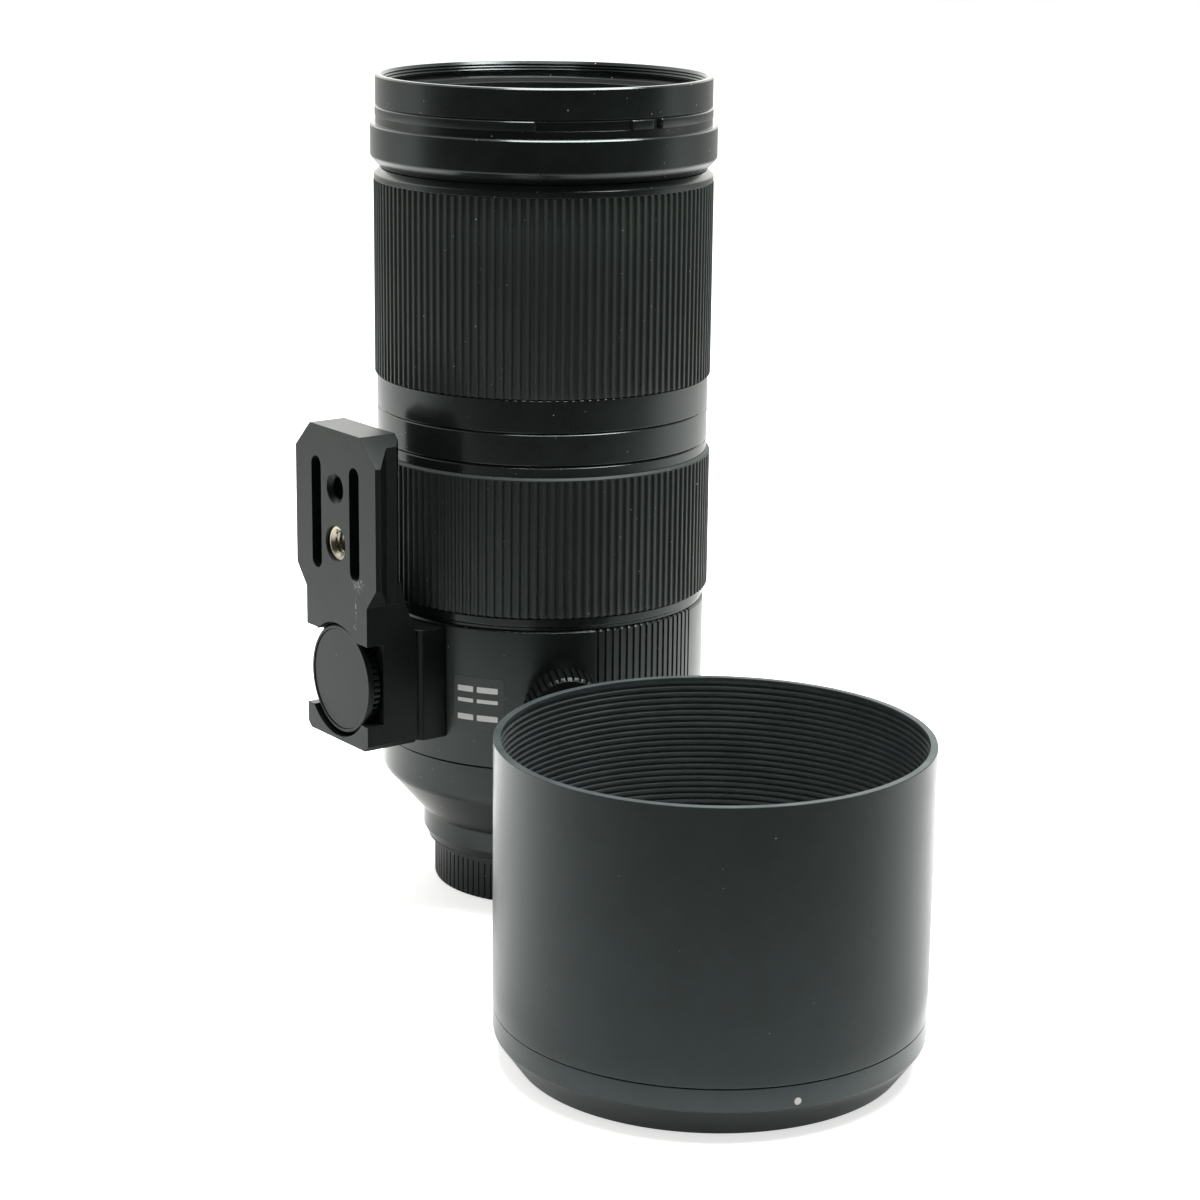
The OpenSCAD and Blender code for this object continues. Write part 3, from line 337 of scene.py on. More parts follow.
def foot_black():
    face = -62.8
    return finish("foot_black", "foot_black", 0.34, grain=2200.0, depth=0.09, strength=0.7,
                  specular=0.25, edge=0.35, dust=0.2, handled=0.02,
                  scuffs=((10.6, face, 90.2, 3.0, 2.6), (9.4, face, 83.5, 0.5, 3.6),
                          (9.0, face, 78.8, 0.9, 0.9)))


def knob_black():
    return finish("knob_black", "foot_black", 0.32, grain=3600.0, specular=0.22, dust=0.2,
                  handled=0.02)


def grip_rubber():
    return finish("grip_rubber", "rubber", 0.55, grain=3200.0, depth=0.03, strength=0.3, specular=0.4,
                  dust=0.8, handled=0.03)


def cap_plastic():
    return finish("cap_plastic", "plastic", 0.4, grain=3000.0, specular=0.45, dust=0.4)


def inner_black():
    return finish("inner_black", "plastic", 0.68, factor=0.5, grain=2600.0, depth=0.03, specular=0.25)


def hood_paint():
    return finish("hood_paint", "charcoal", 0.22, grain=5200.0, depth=0.004, strength=0.3,
                  specular=0.55, edge=0.12, dust=0.08, handled=0.03, tone=0.06, tint=(0.84, 1.0, 0.98))


# Rough lining in the hood's charcoal, made 1.35 times lighter as painted light inside the hood and on its
# mouth
def hood_lining():
    return finish("hood_lining", "charcoal", 0.55, factor=1.35, grain=3600.0, depth=0.03, specular=0.35,
                  edge=0.3)


def mount_steel():
    return finish("mount_steel", "steel", 0.28, grain=3800.0, depth=0.01, metallic=1.0, lines=0.8)


def drawn_aluminium():
    return finish("drawn_aluminium", "steel", 0.34, factor=0.7, depth=0.01, metallic=1.0, lines=1.0)


def insert_bronze():
    return finish("insert_bronze", "bronze", 0.24, grain=3800.0, depth=0.01, metallic=1.0)


def turned_brass():
    return finish("turned_brass", "brass", 0.3, depth=0.01, metallic=1.0, lines=0.6)


def circuit_green():
    return finish("circuit_green", "board", 0.4, grain=1800.0, depth=0.03)


def label_grey():
    return finish("label_grey", "label", 0.42, grain=5200.0, depth=0.01, specular=0.4)


def mark_white():
    return finish("mark_white", "marks", 0.5, grain=6000.0, depth=0.01, tone=0.04)


def coated_glass():
    """Clear glass with a faint coating that shifts towards green and violet."""
    name = "coated_glass"
    if name in bpy.data.materials:
        return bpy.data.materials[name]
    made, tree, shader = new_material(name)
    grains = place_group(tree, grain_group(), Scale=900.0)
    tint = blend_colour(tree, grains["Tone"], (0.86, 0.95, 0.93, 1.0), (0.93, 0.92, 0.97, 1.0))
    tree.links.new(tint, shader.inputs["Base Color"])
    specks = place_group(tree, dust_group(), Scale=260.0, Share=0.4)["Mask"]
    tree.links.new(times(tree, specks, 0.6), shader.inputs["Roughness"])
    shader.inputs["Transmission Weight"].default_value = 1.0
    shader.inputs["IOR"].default_value = 1.52
    shader.inputs["Specular IOR Level"].default_value = 0.22
    shader.inputs["Specular Tint"].default_value = (0.6, 1.0, 0.86, 1.0)
    return made


# Mesh helpers

def stand(mesh, body, material, nodes=()):
    """Object named as its mesh: rides on its body, takes a slot, and stands for CAD nodes."""
    mesh.materials.append(material)
    made = bpy.data.objects.new(mesh.name, mesh)
    bpy.context.scene.collection.objects.link(made)
    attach(made, body)
    if nodes:
        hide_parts(*nodes)
    return made


def mesh_of(name, points, faces, normals=None, edge=None, sharp=None):
    """Smooth mesh from points in millimetres."""
    mesh = bpy.data.meshes.new(name)
    mesh.from_pydata([(x * MM, y * MM, z * MM) for x, y, z in points], [], faces)
    mesh.validate()
    mesh.shade_smooth()
    if edge:
        worn = mesh.attributes.new("edge", "FLOAT", "POINT")
        worn.data.foreach_set("value", edge)
    if sharp:
        mesh.set_sharp_from_angle(angle=math.radians(sharp))
    if normals:
        mesh.normals_split_custom_set_from_vertices(normals)
    mesh.update()
    return mesh


def rounded(profile, radius, steps=3):
    """Points, outward normals and edge marks of a closed profile with an arc at each corner.

    A third value at a corner is its own rounding, and slight bends stay as they are.
    """
    count = len(profile)
    area = sum(profile[i][0] * profile[(i + 1) % count][1] - profile[(i + 1) % count][0] * profile[i][1]
               for i in range(count))
    side = 1 if area > 0 else -1
    rows = []
    for i, corner in enumerate(profile):
        here = Vector(corner[:2])
        back = Vector(profile[i - 1][:2]) - here
        ahead = Vector(profile[(i + 1) % count][:2]) - here
        normal_in = Vector((-back.y, back.x)).normalized() * side
        normal_out = Vector((ahead.y, -ahead.x)).normalized() * side
        cross = normal_in.x * normal_out.y - normal_in.y * normal_out.x
        turn = math.atan2(cross, normal_in.dot(normal_out))
        wanted = corner[2] if len(corner) > 2 else radius
        if here.x < ON_AXIS:
            rows.append((here, Vector((0, 1 if normal_in.y + normal_out.y > 0 else -1)), 0.0))
            continue
        if abs(turn) < SLIGHT_BEND:
            rows.append((here, (normal_in + normal_out).normalized(), 0.0))
            continue
        pull = math.tan(abs(turn) / 2)
        bend = min(wanted, 0.45 * min(back.length, ahead.length) / pull)
        convex = 1 if turn * side > 0 else -1
        centre = here + back.normalized() * bend * pull - normal_in * bend * convex
        for k in range(steps + 1):
            c, s = math.cos(turn * k / steps), math.sin(turn * k / steps)
            normal = Vector((normal_in.x * c - normal_in.y * s, normal_in.x * s + normal_in.y * c))
            rows.append((centre + normal * bend * convex, normal, 1.0 if convex > 0 else 0.0))
    return rows


def turned(name, profile, centre=(0.0, 0.0), radius=None, steps=None, cuts=()):
    """Ring turned from a closed profile of (radius, height) or (radius, height, rounding) in millimetres.

    Each cut is (low, high, floor radius, start, span): a sector milled into the outside, in degrees.
    """
    steps = steps or sizes().steps_round
    rows = rounded(profile, radius if radius is not None else sizes().edge_round / MM)
    columns = [FULL * k / steps for k in range(steps)]
    walls = [(math.radians(a0), math.radians(a0 + span)) for _, _, _, a0, span in cuts]
    half_wall = 0.0004
    for wall in walls:
        columns += [(at + side * half_wall) % FULL for at in wall for side in (-1, 1)]
    columns.sort()
    steps = len(columns)
    points, normals, edge, start = [], [], [], []
    for at, normal, mark in rows:
        start.append(len(points))
        milled = any(low <= at.y <= high for low, high, *_ in cuts)
        for k in range(1 if at.x < ON_AXIS else steps):
            c, s, r = math.cos(columns[k]), math.sin(columns[k]), at.x
            for (low, high, floor, _, _), (a0, a1) in zip(cuts, walls):
                if low <= at.y <= high and r > floor and (columns[k] - a0) % FULL < a1 - a0:
                    r = floor
            points.append((centre[0] + r * c, centre[1] + r * s, at.y))
            normals.append((0.0, 0.0, 0.0) if milled else (normal.x * c, normal.x * s, normal.y))
            edge.append(mark)
    area = sum(rows[i - 1][0].x * rows[i][0].y - rows[i][0].x * rows[i - 1][0].y for i in range(len(rows)))
    faces = []
    for j in range(len(rows)):
        a, b = start[j], start[(j + 1) % len(rows)]
        pole_a, pole_b = rows[j][0].x < ON_AXIS, rows[(j + 1) % len(rows)][0].x < ON_AXIS
        if pole_a and pole_b:
            continue
        for k in range(steps):
            n = (k + 1) % steps
            if pole_a:
                face = (a, b + n, b + k)
            elif pole_b:
                face = (a + k, a + n, b)
            else:
                face = (a + k, a + n, b + n, b + k)
            faces.append(face if area > 0 else face[::-1])
    return mesh_of(name, points, faces, normals=normals, edge=edge, sharp=35 if cuts else None)


def chamfer(radius, top, size, rounding):
    """Two profile points of a bevelled outer edge."""
    return [(radius, top - size, rounding), (radius - size, top, rounding)]


def round_at(radius, turn, height):
    return radius * math.cos(turn), radius * math.sin(turn), height


def skin(name, rows, sharp):
    """Closed ring of rows, each a ring of the same count of points."""
    count, wide = len(rows), len(rows[0])

    def at(j, k):
        return j % count * wide + k % wide

    faces = [(at(j, k), at(j, k + 1), at(j + 1, k + 1), at(j + 1, k))
             for j in range(count) for k in range(wide)]
    return mesh_of(name, [point for row in rows for point in row], faces, sharp=sharp)


def fluted(name, profile, dips):
    """Ring from a profile of (radius, height, share of the dip), sunk by each column's dip."""
    rows = [[round_at(r - dip * share, turn, z) for turn, dip in dips] for r, z, share in profile]
    return skin(name, rows, sharp=35)


def grip_mesh(name, radius, inside, low, high, rim):
    """Rubber sleeve: ribs and flat grooves, open at the front or with arched ends under a plain rim."""
    s = sizes()
    count, depth = s.rib_count, s.groove_depth / MM
    pitch = FULL / count
    half = (1 - s.rib_share) / 2
    half_mm = half * pitch * radius
    lip = 0.045
    # Place across a groove, -1 to 1 between its walls, none for the rib's middle, and share of its depth
    columns = [(None, 0.0), (-1 - lip / half, 0.0), (-1.0, 0.14), (-0.87, 0.9), (-0.74, 1.0),
               (0.74, 1.0), (0.87, 0.9), (1.0, 0.14), (1 + lip / half, 0.0)]
    # Height, share of the groove's width, share of its depth, and drop of the whole surface
    rows = [(low, 1.0, 1.0, 0.12), (low + 0.12, 1.0, 1.0, 0.0)]
    if rim:
        arch = high - rim - half_mm
        for swing in (math.radians(degrees) for degrees in (0, 22, 42, 60, 76)):
            rows.append((arch + half_mm * math.sin(swing), math.cos(swing), 1.0, 0.0))
        rows += [(arch + half_mm, 0.08, 0.85, 0.0), (arch + half_mm + 0.05, 0.06, 0.0, 0.0),
                 (high - 0.6, 0.06, 0.0, 0.02), (high - 0.5, 0.06, 0.0, 0.1), (high - 0.08, 0.06, 0.0, 0.5),
                 (high, 0.06, 0.0, 0.62)]
    else:
        rows += [(high - 0.2, 1.0, 1.0, 0.0), (high - 0.06, 1.0, 1.0, 0.06), (high, 1.0, 1.0, 0.2)]

    def ring(z, narrow, cut, drop):
        out = []
        for i in range(count):
            for at, deep in columns:
                if at is None:
                    turn = i * pitch
                elif abs(at) > 1:
                    turn = (i + 0.5) * pitch + pitch * (half * narrow + lip) * (1 if at > 0 else -1)
                else:
                    turn = (i + 0.5) * pitch + pitch * half * narrow * at
                out.append(round_at(radius - drop - depth * deep * cut, turn, z))
        return out

    def bore(row):
        return [(x * inside / math.hypot(x, y), y * inside / math.hypot(x, y), z) for x, y, z in row]

    wide = [ring(*row) for row in rows]
    return skin(name, wide + [bore(wide[-1]), bore(wide[0])], sharp=50)


def bent_plate(name, radius, middle, height, wide, tall, thick, corner):
    """Thin plate with round corners, bent round the optical axis."""
    straight = wide / 2 - corner
    steps = max(2, int(wide / 0.8))
    ends = [straight + corner * math.cos(math.radians(22.5 * k)) for k in range(5)]
    places = [wide * k / steps - wide / 2 for k in range(steps + 1)] + ends + [-x for x in ends]
    cuts = sorted({round(x, 4) for x in places})
    points, faces = [], []
    for x in cuts:
        inset = max(0.0, abs(x) - straight)
        top = tall / 2 - corner + math.sqrt(max(0.0, corner ** 2 - inset ** 2))
        for out in (0.0, thick):
            for up in (-top, top):
                points.append(round_at(radius + out, middle + x / radius, height + up))
    for k in range(len(cuts) - 1):
        a, b = 4 * k, 4 * k + 4
        faces += [(a + 2, b + 2, b + 3, a + 3), (a, a + 1, b + 1, b), (a + 1, a + 3, b + 3, b + 1),
                  (a, b, b + 2, a + 2)]
    last = 4 * len(cuts) - 4
    faces += [(0, 2, 3, 1), (last, last + 1, last + 3, last + 2)]
    return mesh_of(name, points, faces, sharp=30)


def dress(node, material, bevel=0.0, segments=2):
    """Finish on a CAD node that stays, with softened edges where asked for."""
    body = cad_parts[node]
    for place in body.material_slots:
        place.material = material
    if bevel:
        weld_points(body)
        soften(body, bevel, segments)


def weld_points(body):
    weld = body.modifiers.new("weld", "WELD")
    weld.merge_threshold = 0.004 * MM


def soften(body, bevel, segments):
    """Flat faces joined, and a rounding on the edges between them."""
    flat = body.modifiers.new("flat_faces", "DECIMATE")
    flat.decimate_type = "DISSOLVE"
    flat.angle_limit = math.radians(0.6)
    soft = body.modifiers.new("soft_edges", "BEVEL")
    soft.width = bevel * MM
    soft.segments = segments
    soft.limit_method = "ANGLE"
    soft.angle_limit = math.radians(28)
    soft.use_clamp_overlap = True
    soft.miter_outer = "MITER_ARC"
    even = body.modifiers.new("even_normals", "WEIGHTED_NORMAL")
    even.keep_sharp = False


class StageOperator(bpy.types.Operator):
    """Floor, studio light and camera at the photograph's viewing angle"""
    bl_idname = "zoom_lens.make_stage"
    bl_label = "Stage"

    # Level of the surroundings by the turn in degrees from the camera towards its left, and by the rise
    round_levels = ((-180, 1.75), (-150, 1.1), (-130, 0.6), (-116, 0.5), (-104, 0.4), (-94, 0.25),
                    (-84, 0.13), (-76, 0.06), (-66, 0.04), (0, 0.03), (62, 0.035), (70, 0.1), (78, 0.26),
                    (86, 0.52), (96, 0.78), (108, 0.95), (150, 1.1), (180, 1.75))
    rise_levels = ((0.0, 0.5), (0.1, 0.55), (0.26, 0.9), (0.55, 0.9), (0.75, 0.5))
    front_fill = 0.42
    # Painted light and shade on the floor, seen in reflections and bounced light: its level by the distance
    # in metres towards the camera, to its right, and from the hood
    painted_floor_ramp = ((-0.8, 0.66), (-0.5, 1.0), (-0.25, 1.12), (-0.05, 1.0), (0.08, 0.72), (0.2, 0.42),
                    (0.32, 0.26), (0.46, 0.15), (0.6, 0.08), (0.76, 0.04))
    floor_reach = 0.8
    painted_fall_right = ((0.05, 1.0), (0.25, 0.78))
    painted_pool_round_hood = ((0.066, 1.0), (0.092, 0.0))
    # Glow makes the floor white to the camera; the shine is a painted glow that only reflections see, and the
    # share is painted shade for light bounced off the floor
    floor_glow, floor_shine, diffuse_share = 0.6, 0.15, 0.6
    floor_rings, floor_steps, floor_height_mm = (0.4, 1.2, 4.0), 96, -0.02
    # Soft box: width and depth, watts, and its place to the camera's right, towards it and up, in metres
    lamp_size, lamp_watts, lamp_place = (0.85, 0.42), 25.0, (0.2, 0.03, 1.12)
    focal_mm, sensor_mm = 90.08, 36.0
    eye_mm = (626.9, -439.0, 275.2)
    azimuth, pitch, yaw, roll = 55.0, 14.665, 1.158, 0.6235

    def execute(self, context):
        self.camera(context)
        self.floor(context)
        self.studio(context)
        self.lamps(context)
        context.scene.view_settings.view_transform = "Standard"
        return {"FINISHED"}

    def camera(self, context):
        pitch, turn, roll = (math.radians(v) for v in (90 - self.pitch, self.azimuth - self.yaw, self.roll))
        axes = Matrix.Rotation(turn, 4, "Z") @ Matrix.Rotation(pitch, 4, "X") @ Matrix.Rotation(roll, 4, "Z")
        data = bpy.data.cameras.new("camera")
        data.sensor_width = self.sensor_mm
        data.lens = self.focal_mm
        data.clip_start, data.clip_end = 0.01, 50.0
        eye = bpy.data.objects.new("camera", data)
        eye.matrix_world = Matrix.Translation(Vector(self.eye_mm) * MM) @ axes
        context.scene.collection.objects.link(eye)
        context.scene.camera = eye

    def floor(self, context):
        """White floor to the camera, with painted light and shade that reflections and bounced light see:
        darker towards the camera and to its right, lighter round the hood.
        """
        made, tree, shader = new_material("floor_white")
        path = add(tree, "ShaderNodeLightPath").outputs
        level = self.painted_floor_light(tree, path)
        base = paint("floor")
        grains = place_group(tree, grain_group(), Scale=600.0)
        white = blend_colour(tree, grains["Tone"], shade(base, 0.985), shade(base, 1.01))
        paper = blend_colour(tree, math_node(tree, "MINIMUM", level, 1.0), (0, 0, 0, 1), white)
        fill(tree, shader, {"Base Color": paper, "Roughness": 0.8, "Specular IOR Level": 0.1})
        seen = math_node(tree, "ADD", path["Is Glossy Ray"], path["Is Transmission Ray"], clamp=True)
        # Painted glow of the floor, seen only in reflections
        shine = times(tree, times(tree, seen, level), self.floor_shine)
        glow = times(tree, path["Is Camera Ray"], self.floor_glow)
        strength = math_node(tree, "ADD", shine, glow)
        light = add(tree, "ShaderNodeEmission", {"Color": (1, 1, 1, 1), "Strength": strength})
        both = add(tree, "ShaderNodeAddShader", {0: shader.outputs[0], 1: light.outputs[0]})
        out = [n for n in tree.nodes if n.type == "OUTPUT_MATERIAL"][0]
        tree.links.new(both.outputs[0], out.inputs["Surface"])
        mesh = self.disc()
        mesh.materials.append(made)
        floor = bpy.data.objects.new("floor", mesh)
        context.scene.collection.objects.link(floor)

    def disc(self):
        steps, z = self.floor_steps, self.floor_height_mm
        points = [(0, 0, z)]
        points += [round_at(r / MM, FULL * k / steps, z) for r in self.floor_rings for k in range(steps)]
        sides = [(1 + k, 1 + (k + 1) % steps) for k in range(steps)]
        faces = [(0, k, n) for k, n in sides]
        for a in range(0, steps * (len(self.floor_rings) - 1), steps):
            b = a + steps
            faces += [(a + k, b + k, b + n, a + n) for k, n in sides]
        return mesh_of("floor", points, faces)

    def painted_floor_light(self, tree, path):
        """Painted light and shade of the floor: falls towards the camera and to its right, with a painted
        pool of light round the hood.
        """
        at, far = object_place(tree), self.floor_reach
        stops = [((away + far) / (2 * far), level / 2) for away, level in self.painted_floor_ramp]
        ahead = remap(tree, along(tree, at, self.towards(0)), -far, far, 0.0, 1.0)
        fall = times(tree, self.ramp(tree, ahead, stops), 2.0)
        beside = self.slope(tree, along(tree, at, self.towards(-90)), self.painted_fall_right)
        fall = times(tree, fall, beside)
        low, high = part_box("hood_shell")
        middle = ((low.x + high.x) / 2, (low.y + high.y) / 2, 0.0)
        away = add(tree, "ShaderNodeVectorMath", {0: at, 1: middle}, operation="DISTANCE").outputs["Value"]
        # Painted pool of light round the hood
        fall = math_node(tree, "MAXIMUM", fall, self.slope(tree, away, self.painted_pool_round_hood))
        # Painted shade on the floor for bounced light
        diffuse = remap(tree, path["Is Diffuse Ray"], 0.0, 1.0, 1.0, self.diffuse_share)
        fall = times(tree, fall, diffuse)
        return math_node(tree, "MAXIMUM", fall, path["Is Camera Ray"])

    def towards(self, left):
        """Level direction at an angle to the left of the way to the camera."""
        swing = math.radians(self.azimuth - left)
        return math.sin(swing), -math.cos(swing), 0.0

    def slope(self, tree, value, ends):
        (near, first), (far, last) = ends
        return remap(tree, value, near, far, first, last)

    def ramp(self, tree, value, stops):
        """Value run through a ramp of (place from 0 to 1, level)."""
        made = add(tree, "ShaderNodeValToRGB", {0: value})
        made.color_ramp.interpolation = "EASE" if len(stops) < 6 else "LINEAR"
        marks = made.color_ramp.elements
        while len(marks) > 1:
            marks.remove(marks[-1])
        for k, (place, level) in enumerate(stops):
            mark = marks[0] if k == 0 else marks.new(place)
            mark.position = place
            mark.color = (level, level, level, 1)
        return made.outputs["Color"]

    def studio(self, context):
        """White surroundings behind and beside the set, dark on the side the camera stands on."""
        world = bpy.data.worlds.new("studio")
        context.scene.world = world
        world.use_nodes = True
        tree = world.node_tree
        tree.nodes.clear()
        way = add(tree, "ShaderNodeTexCoord").outputs["Generated"]
        front, left = (along(tree, way, self.towards(side)) for side in (0, 90))
        turn = remap(tree, math_node(tree, "ARCTAN2", left, front), -math.pi, math.pi, 0.0, 1.0)
        stops = [((degrees + 180) / 360, level / 2) for degrees, level in self.round_levels]
        level = self.ramp(tree, turn, stops)
        lift = self.ramp(tree, add(tree, "ShaderNodeSeparateXYZ", {0: way}).outputs["Z"], self.rise_levels)
        level = times(tree, times(tree, level, lift), 4.0)
        path = add(tree, "ShaderNodeLightPath").outputs
        dull = math_node(tree, "SUBTRACT", 1.0, path["Is Glossy Ray"])
        level = math_node(tree, "MAXIMUM", level, times(tree, dull, self.front_fill))
        light = add(tree, "ShaderNodeBackground", {"Color": (1, 1, 0.97, 1), "Strength": level})
        white = add(tree, "ShaderNodeBackground", {"Color": (1, 1, 1, 1), "Strength": 1.0})
        plain = math_node(tree, "ADD", path["Is Camera Ray"], path["Is Transmission Ray"], clamp=True)
        mix = add(tree, "ShaderNodeMixShader", {0: plain, 1: light.outputs[0], 2: white.outputs[0]})
        out = add(tree, "ShaderNodeOutputWorld")
        tree.links.new(mix.outputs[0], out.inputs["Surface"])

    def lamps(self, context):
        """Wide soft box over the set, reaching further to the right of the camera's side."""
        right, ahead, up = Vector(self.towards(-90)), Vector(self.towards(0)), Vector((0, 0, 1))
        to_right, to_front, rise = self.lamp_place
        data = bpy.data.lights.new("soft_top", "AREA")
        data.shape = "RECTANGLE"
        data.size, data.size_y = self.lamp_size
        data.energy = self.lamp_watts
        lamp = bpy.data.objects.new("soft_top", data)
        place = Matrix.Translation(right * to_right + ahead * to_front + up * rise)
        lamp.matrix_world = place @ Matrix((right, -ahead, up)).transposed().to_4x4()
        context.scene.collection.objects.link(lamp)


class BarrelOperator(bpy.types.Operator):
    """Fixed barrel: tail and cone, lip under the focus ring, and index band"""
    bl_idname = "zoom_lens.make_barrel"
    bl_label = "Fixed barrel"

    tube = 39.35

    def execute(self, context):
        black = anodised()
        for node, name, profile in (("rear_barrel", "rear_barrel_turned", self.rear()),
                                    ("main_barrel", "main_barrel_turned", self.middle()),
                                    ("index_ring", "index_band_turned", self.index())):
            stand(turned(name, profile), "barrel", black, [node])
        return {"FINISHED"}

    def rear(self):
        """Tail, cone that swells into the shoulder, and straight band."""
        top, low, high = reach("rear_barrel")
        tail, inner, band_bore, shoulder = 31.2, 29.5, 40.44, high - 7.8
        mount_bore, mount_seat, mount_low, mount_high = 23.3, 28.84, 13.9, 16.9
        swell, lean = 4.0, math.radians(41)
        turns = [lean * (k / 8 - 1) for k in range(9)]
        arc = [(top - swell + swell * math.cos(turn), shoulder + swell * math.sin(turn)) for turn in turns]
        cone = shoulder - swell * math.sin(lean) - (arc[0][0] - tail) / math.tan(lean)
        return [(tail - 1.2, low), (tail, low + 2.3), (tail, cone, 0.6), *arc, (top, high, 0.3),
                (band_bore, high), (band_bore, shoulder - 0.5), (arc[0][0] - 2.3, arc[0][1] + 0.4),
                (inner, cone + 0.8), (inner, mount_high), (mount_bore, mount_high), (mount_bore, mount_low),
                (mount_seat, mount_low), (mount_seat, low)]

    def middle(self):
        """Tube under the rings, with the lip that stands between collar and focus ring."""
        r, low, high = reach("main_barrel")
        gap = 0.2
        lip, ring = heights("collar_ring")[1] + gap, heights("focus_ring")[0] - gap
        tube, bore, sleeve, sleeve_low, bearing = self.tube, 26.0, 40.4, 37.4, 41.3
        return [(bore, low), (tube, low), (tube, sleeve_low), (sleeve, sleeve_low), (sleeve, lip),
                (r - 0.5, lip, 0.1), (r - 0.5, lip + 0.6), (r, lip + 1.1, 0.2), (r, ring, 0.3),
                (bearing, ring), (bearing, high), (tube, high), (tube, low + 2), (bore, low + 2)]

    def index(self):
        r, low, high = reach("index_ring")
        bore, step = 41.34, low + 2.84
        return [(bore, low), (r, low, 0.3), *chamfer(r, high, 0.42, 0.06), (self.tube, high),
                (self.tube, step), (bore, step)]


class RingsOperator(bpy.types.Operator):
    """Metal sleeves of the focus and zoom rings"""
    bl_idname = "zoom_lens.make_rings"
    bl_label = "Focus and zoom rings"

    gap = 0.05

    def execute(self, context):
        black = anodised()
        stand(turned("focus_sleeve_turned", self.focus()), "focus", black, ["focus_ring"])
        stand(turned("zoom_sleeve_turned", self.zoom()), "zoom", black, ["zoom_ring"])
        return {"FINISHED"}

    def focus(self):
        r, low, high = reach("focus_ring")
        bore, seat, lip = 41.5, 42.2, heights("focus_grip")[1] + self.gap
        return [(bore, low), (seat, low), (seat, lip), (r, lip, 0.1), *chamfer(r, high, 0.45, 0.06),
                (bore, high)]

    def zoom(self):
        r, low, high = reach("zoom_ring")
        grip_low, grip_high = heights("zoom_grip")
        skirt, lip = grip_low - self.gap, grip_high + self.gap
        bore, wide, seat, rim, neck, neck_low = 39.19, 42.6, 42.0, 41.5, 37.45, 186.0
        return [(bore, low), (wide, low, 0.25), *chamfer(wide, skirt, 0.36, 0.05), (seat, skirt),
                (seat, lip), (r, lip, 0.2), (r, high - 1.5, 0.7), (rim, high, 0.3), (neck, high),
                (neck, neck_low), (bore, neck_low)]


class GripsOperator(bpy.types.Operator):
    """Ribbed rubber of the focus and zoom rings"""
    bl_idname = "zoom_lens.make_grips"
    bl_label = "Rubber grips"

    def execute(self, context):
        rubber = grip_rubber()
        for node, body, inside, rim in (("focus_grip", "focus", 42.24, sizes().grip_rim / MM),
                                        ("zoom_grip", "zoom", 42.04, 0.0)):
            r, low, high = reach(node)
            made = grip_mesh(node + "_ribbed", r, inside, low, high, rim)
            stand(made, body, rubber, [node])
        return {"FINISHED"}


class CollarOperator(bpy.types.Operator):
    """Tripod collar with finger flutes, its shoe, lock knob and label"""
    bl_idname = "zoom_lens.make_collar"
    bl_label = "Tripod collar"

    label_at = 58.0
    # Directions of the two patches of flutes in degrees
    patches = (6.5, 173.5)
    # Place across a flute, from -1 to 1 between its walls, and share of its depth
    flute_form = ((-1.25, 0.0), (-1.0, 0.16), (-0.85, 0.9), (-0.6, 1.0), (0.6, 1.0), (0.85, 0.9),
                  (1.0, 0.16), (1.25, 0.0))
    # Place from the label's middle, width and height of each bar
    bars = ((-3.6, 3.6, 4.4, 1.5), (2.4, 3.6, 5.6, 1.5), (-3.6, 0.6, 4.4, 1.0), (2.4, 0.6, 5.6, 1.0),
            (-3.6, -3.8, 4.4, 1.5), (2.4, -3.8, 5.6, 1.5))

    def execute(self, context):
        r, low, high = reach("collar_ring")
        bore = 40.6
        profile = [(bore, low, 0.0), (r - 0.35, low, 1.0), (r - 0.1, low + 0.1, 1.0), (r, low + 0.35, 1.0),
                   (r, high - 0.48, 1.0), (r - 0.48, high, 1.0), (bore, high, 0.0)]
        made = fluted("collar_fluted", profile, self.dips(r))
        stand(made, "collar", collar_black(), ["collar_ring"])
        dress("collar_shoe", foot_black(), 0.35, 3)
        dress("lock_knob", knob_black(), 0.22)
        dress("lock_cap", knob_black(), 0.15)
        dress("lock_screw", mount_steel())
        self.label(r)
        return {"FINISHED"}

    def dips(self, r):
        """Direction and depth of each column round the collar."""
        s = sizes()
        depth, half = s.flute_depth / MM, s.flute_width / MM / 2 / r
        flutes = [math.radians(middle) + (i - (s.flute_count - 1) / 2) * s.flute_pitch
                  for middle in self.patches for i in range(s.flute_count)]
        columns = [(at + half * side, depth * share) for at in flutes for side, share in self.flute_form]
        for k in range(s.steps_round):
            at = FULL * k / s.steps_round
            if all(abs(math.remainder(at - flute, FULL)) > half * 1.6 for flute in flutes):
                columns.append((at, 0.0))
        return sorted((at % FULL, dip) for at, dip in columns)

    def label(self, r):
        """Thin plate bent round the collar, with plain bars."""
        s = sizes()
        plate = bent_plate("collar_label", r, s.label_angle, self.label_at, s.label_width / MM,
                           s.label_height / MM, 0.06, 0.8)
        stand(plate, "collar", label_grey())
        for k, (x, up, wide, tall) in enumerate(self.bars):
            bar = bent_plate(f"label_bar_{k + 1}", r + 0.05, s.label_angle + x / r, self.label_at + up,
                             wide, tall, 0.03, 0.2)
            stand(bar, "collar", mark_white())


